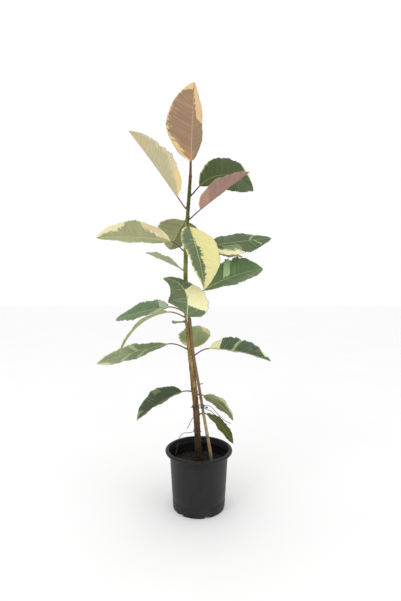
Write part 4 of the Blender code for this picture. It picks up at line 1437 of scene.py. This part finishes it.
@dataclass
class Pot:
    """The nursery pot: rolled rim, plain wall, stepped foot band and drain slots."""

    height: float = 0.178
    foot: float = 0.0778
    shoulder: float = 0.0867
    shoulder_height: float = 0.162
    rim: float = 0.100
    mouth: float = 0.0896
    wall: float = 0.0014
    floor: float = 0.003
    sides: int = 168
    slots: int = 6
    slot_size: Point = (0.010, 0.019, 0.0065)       # depth, width, height
    first_slot: float = 288.0

    def radius_at(self, height: float) -> float:
        """Outside radius of the wall at a height below the rim."""
        return self.foot + (self.shoulder - self.foot) * height / self.shoulder_height

    def profile(self) -> list[tuple[float, float]]:
        """The section from the middle of the foot, up the outside and down the inside."""
        section = [(0.0, 0.0), (self.foot - 0.0022, 0.0), (self.foot - 0.0006, 0.0006),
                   (self.foot, 0.002), (self.radius_at(0.014), 0.014),
                   (self.radius_at(0.0275), 0.0275), (self.radius_at(0.0285) - 0.0006, 0.0285),
                   (self.radius_at(0.030) - 0.0006, 0.030), (self.radius_at(0.031), 0.031)]
        for height in (0.055, 0.080, 0.105, 0.130, 0.150):
            section.append((self.radius_at(height), height))
        section += [(self.shoulder, self.shoulder_height), (self.shoulder + 0.0012, 0.1632),
                    (self.shoulder + 0.0040, 0.1652)]
        roll = 0.0052
        for degrees in range(-75, 96, 12):
            turn = math.radians(degrees)
            section.append((self.rim - roll + roll * math.cos(turn),
                            self.height - roll + roll * math.sin(turn)))
        section += [(self.mouth + 0.0016, self.height - 0.0007),
                    (self.mouth + 0.0003, self.height - 0.0018), (self.mouth, 0.1750),
                    (self.mouth - 0.0008, 0.1690), (self.shoulder - self.wall, 0.162)]
        for k, height in enumerate(np.linspace(0.158, 0.012, 32)):
            ring = 0.00018 if k % 4 == 0 else 0.0
            section.append((self.radius_at(height) - self.wall - ring, float(height)))
        section += [(self.foot - self.wall, self.floor), (0.0, self.floor)]
        return section

    def spin(self) -> bpy.types.Mesh:
        """Turn the section about the upright axis."""
        section = self.profile()[1:-1]
        turns = np.linspace(0.0, 2 * math.pi, self.sides, endpoint=False)
        rings = np.array([level_ring(radius, turns, height) for radius, height in section])
        return ring_mesh("nursery_pot_shell", rings)

    def cutter(self, turn: float) -> bpy.types.Object:
        """A round-topped block that cuts one drain slot."""
        depth, width, height = self.slot_size
        arc = [(width / 2, -0.004), (width / 2, height * 0.45), (width * 0.40, height * 0.80),
               (width * 0.24, height * 0.97), (0.0, height)]
        arc += [(-x, z) for x, z in arc[-2::-1]]
        rings = []
        for out in (self.foot - depth, self.foot + 0.004):
            rings.append([(out * math.cos(turn) - x * math.sin(turn),
                           out * math.sin(turn) + x * math.cos(turn), z) for x, z in arc])
        block = bpy.data.objects.new("slot_cutter", ring_mesh("slot_cutter", np.array(rings)))
        bpy.context.scene.collection.objects.link(block)
        return block

    def build(self) -> bpy.types.Object:
        """Make the pot, cut its slots and dress it."""
        mesh = self.spin()
        shell = add_piece("nursery_pot_shell", mesh, NurseryPlastic().build())
        cutters = []
        for k in range(self.slots):
            block = self.cutter(math.radians(self.first_slot + k * 360 / self.slots))
            cut = shell.modifiers.new(f"slot_{k}", "BOOLEAN")
            cut.operation, cut.solver, cut.object = "DIFFERENCE", "EXACT", block
            cutters.append(block)
        shell.data = evaluated_mesh(shell, "nursery_pot_shell")
        shell.modifiers.clear()
        for block in cutters:
            bpy.data.objects.remove(block, do_unlink=True)
        shell.data.shade_smooth()
        shell.data.set_sharp_from_angle(angle=math.radians(42))
        hand_over(shell, "nursery_plastic", "nursery_pot")
        return shell


@dataclass
class MixBed:
    """The potting mix: a lumpy bed with crumbs, bark bits and grit lying on it."""

    pot: Pot
    edge_level: float = 0.134
    crown_level: float = 0.139
    rings: int = 60
    sides: int = 140

    def level(self, radius: np.ndarray, turns: np.ndarray) -> np.ndarray:
        """Height of the bed at places given by radius and turn."""
        share = radius / self.pot.radius_at(self.edge_level)
        base = self.crown_level + (self.edge_level - self.crown_level) * share ** 1.5
        where = np.stack((radius * np.cos(turns), radius * np.sin(turns)), axis=1)
        return (base + 0.0013 * ripples(31, 8, 12.0, 45.0, where)
                + 0.0008 * ripples(32, 10, 60.0, 160.0, where))

    def build(self) -> None:
        """Make the bed and its three sorts of crumb."""
        edge = self.pot.radius_at(self.edge_level) - self.pot.wall - 0.0004
        turns = np.linspace(0.0, 2 * math.pi, self.sides, endpoint=False)
        rings = []
        for k in range(1, self.rings + 1):
            radius = np.full(self.sides, edge * k / self.rings)
            rings.append(level_ring(radius, turns, self.level(radius, turns)))
        foot = self.pot.foot - self.pot.wall - 0.0008
        for radius, height in ((foot + 0.004, 0.060), (foot, self.pot.floor + 0.0003)):
            rings.append(level_ring(radius, turns, height))
        mesh = ring_mesh("potting_mix_bed", np.array(rings))
        spots = np.array([vertex.co for vertex in mesh.vertices])
        away = np.hypot(spots[:, 0], spots[:, 1])
        store(mesh, "strewn", (spots[:, 2] > 0.125) * (away < edge - 0.004))
        hosts = [mesh.copy() for _ in range(3)]
        bed = add_piece("potting_mix_bed", mesh, PottingMix().build())
        hand_over(bed, "potting_mix", "potting_mix")
        strew = strewing_recipe(Lie.TUMBLED)
        kinds = (
            ("peat_crumbs", 60000.0, (0.0006,) * 3, (0.0022, 0.0018, 0.0014), 3,
             Crumb("peat_crumb", (14, 11, 8), (44, 32, 22))),
            ("bark_bits", 3000.0, (0.0012, 0.0008, 0.0005), (0.0046, 0.0024, 0.0014), 4,
             Crumb("bark_bit", (66, 38, 24), (130, 92, 60))),
            ("grit", 1200.0, (0.0006,) * 3, (0.0013, 0.0012, 0.0011), 8,
             Crumb("grit_bit", (150, 138, 120), (204, 196, 180))))
        for host, (name, density, small, large, seed, finish) in zip(hosts, kinds):
            crumbs = strew.make(name, host, {"Density": density, "Smallest": small,
                                             "Largest": large, "Seed": seed,
                                             "Finish": finish.build()})
            hand_over(crumbs, "potting_mix")


# ------------------------------------------------------------------ studio

@dataclass
class Studio:
    """Plain pale floor, soft light all round and the camera."""

    eye: Point = (0.005, -1.331, 0.738)
    tilt_down: float = 5.0
    lens: float = 27.49
    sky: float = 1.0

    def floor(self) -> None:
        """A wide floor in matt near-white with the faintest mottle."""
        g = Graph("studio_floor")
        mottle = g.noise(g.place(), 3.0, 2.0)
        colour = g.mix(mottle, linear((252, 252, 252)), linear((248, 248, 248)))
        material = g.finish(colour, 0.9, None, Specular_IOR_Level=0.2)
        mesh = bpy.data.meshes.new("studio_floor")
        mesh.from_pydata([(-6, -6, 0), (6, -6, 0), (6, 6, 0), (-6, 6, 0)], [], [(0, 1, 2, 3)])
        add_piece("studio_floor", mesh, material)

    def lights(self) -> None:
        """White surroundings and two large soft boxes."""
        world = bpy.data.worlds.new("studio_white")
        bpy.context.scene.world = world
        world.use_nodes = True
        world.node_tree.nodes["Background"].inputs["Strength"].default_value = self.sky
        world.node_tree.nodes["Background"].inputs["Color"].default_value = (1, 1, 1, 1)
        for name, spot, turn, power, size in (
                ("key_box", (-1.6, -1.9, 2.6), (46, 0, -40), 12.0, 1.6),
                ("fill_box", (1.9, -1.6, 1.9), (55, 0, 50), 4.0, 1.8)):
            lamp = bpy.data.lights.new(name, "AREA")
            lamp.energy, lamp.size = power, size
            box = bpy.data.objects.new(name, lamp)
            box.location = spot
            box.rotation_euler = [math.radians(a) for a in turn]
            bpy.context.scene.collection.objects.link(box)

    def camera(self) -> None:
        """The camera, level with the middle of the plant and tipped down a little."""
        lens = bpy.data.cameras.new("camera")
        lens.lens = self.lens
        eye = bpy.data.objects.new("camera", lens)
        eye.location = self.eye
        eye.rotation_euler = (math.radians(90.0 - self.tilt_down), 0.0, 0.0)
        bpy.context.scene.collection.objects.link(eye)
        bpy.context.scene.camera = eye

    def build(self) -> None:
        """Set up the studio."""
        bpy.context.scene.view_settings.view_transform = "Standard"
        self.camera()
        self.lights()
        self.floor()


def main() -> None:
    """Build the plant, piece by piece."""
    logging.basicConfig(level=logging.INFO, format="%(message)s")
    Studio().build()
    tubes = tube_recipe()
    pot = Pot()
    pot.build()
    MixBed(pot).build()
    stem = Stem()
    stem.build()
    cane = Cane()
    cane.build(tubes)
    Wires(stem, cane).build(tubes)
    for number, plan in enumerate(LEAF_PLANS):
        RubberLeaf(plan, LOOKS[plan.name], number).build(stem)


if __name__ == "__main__":
    main()
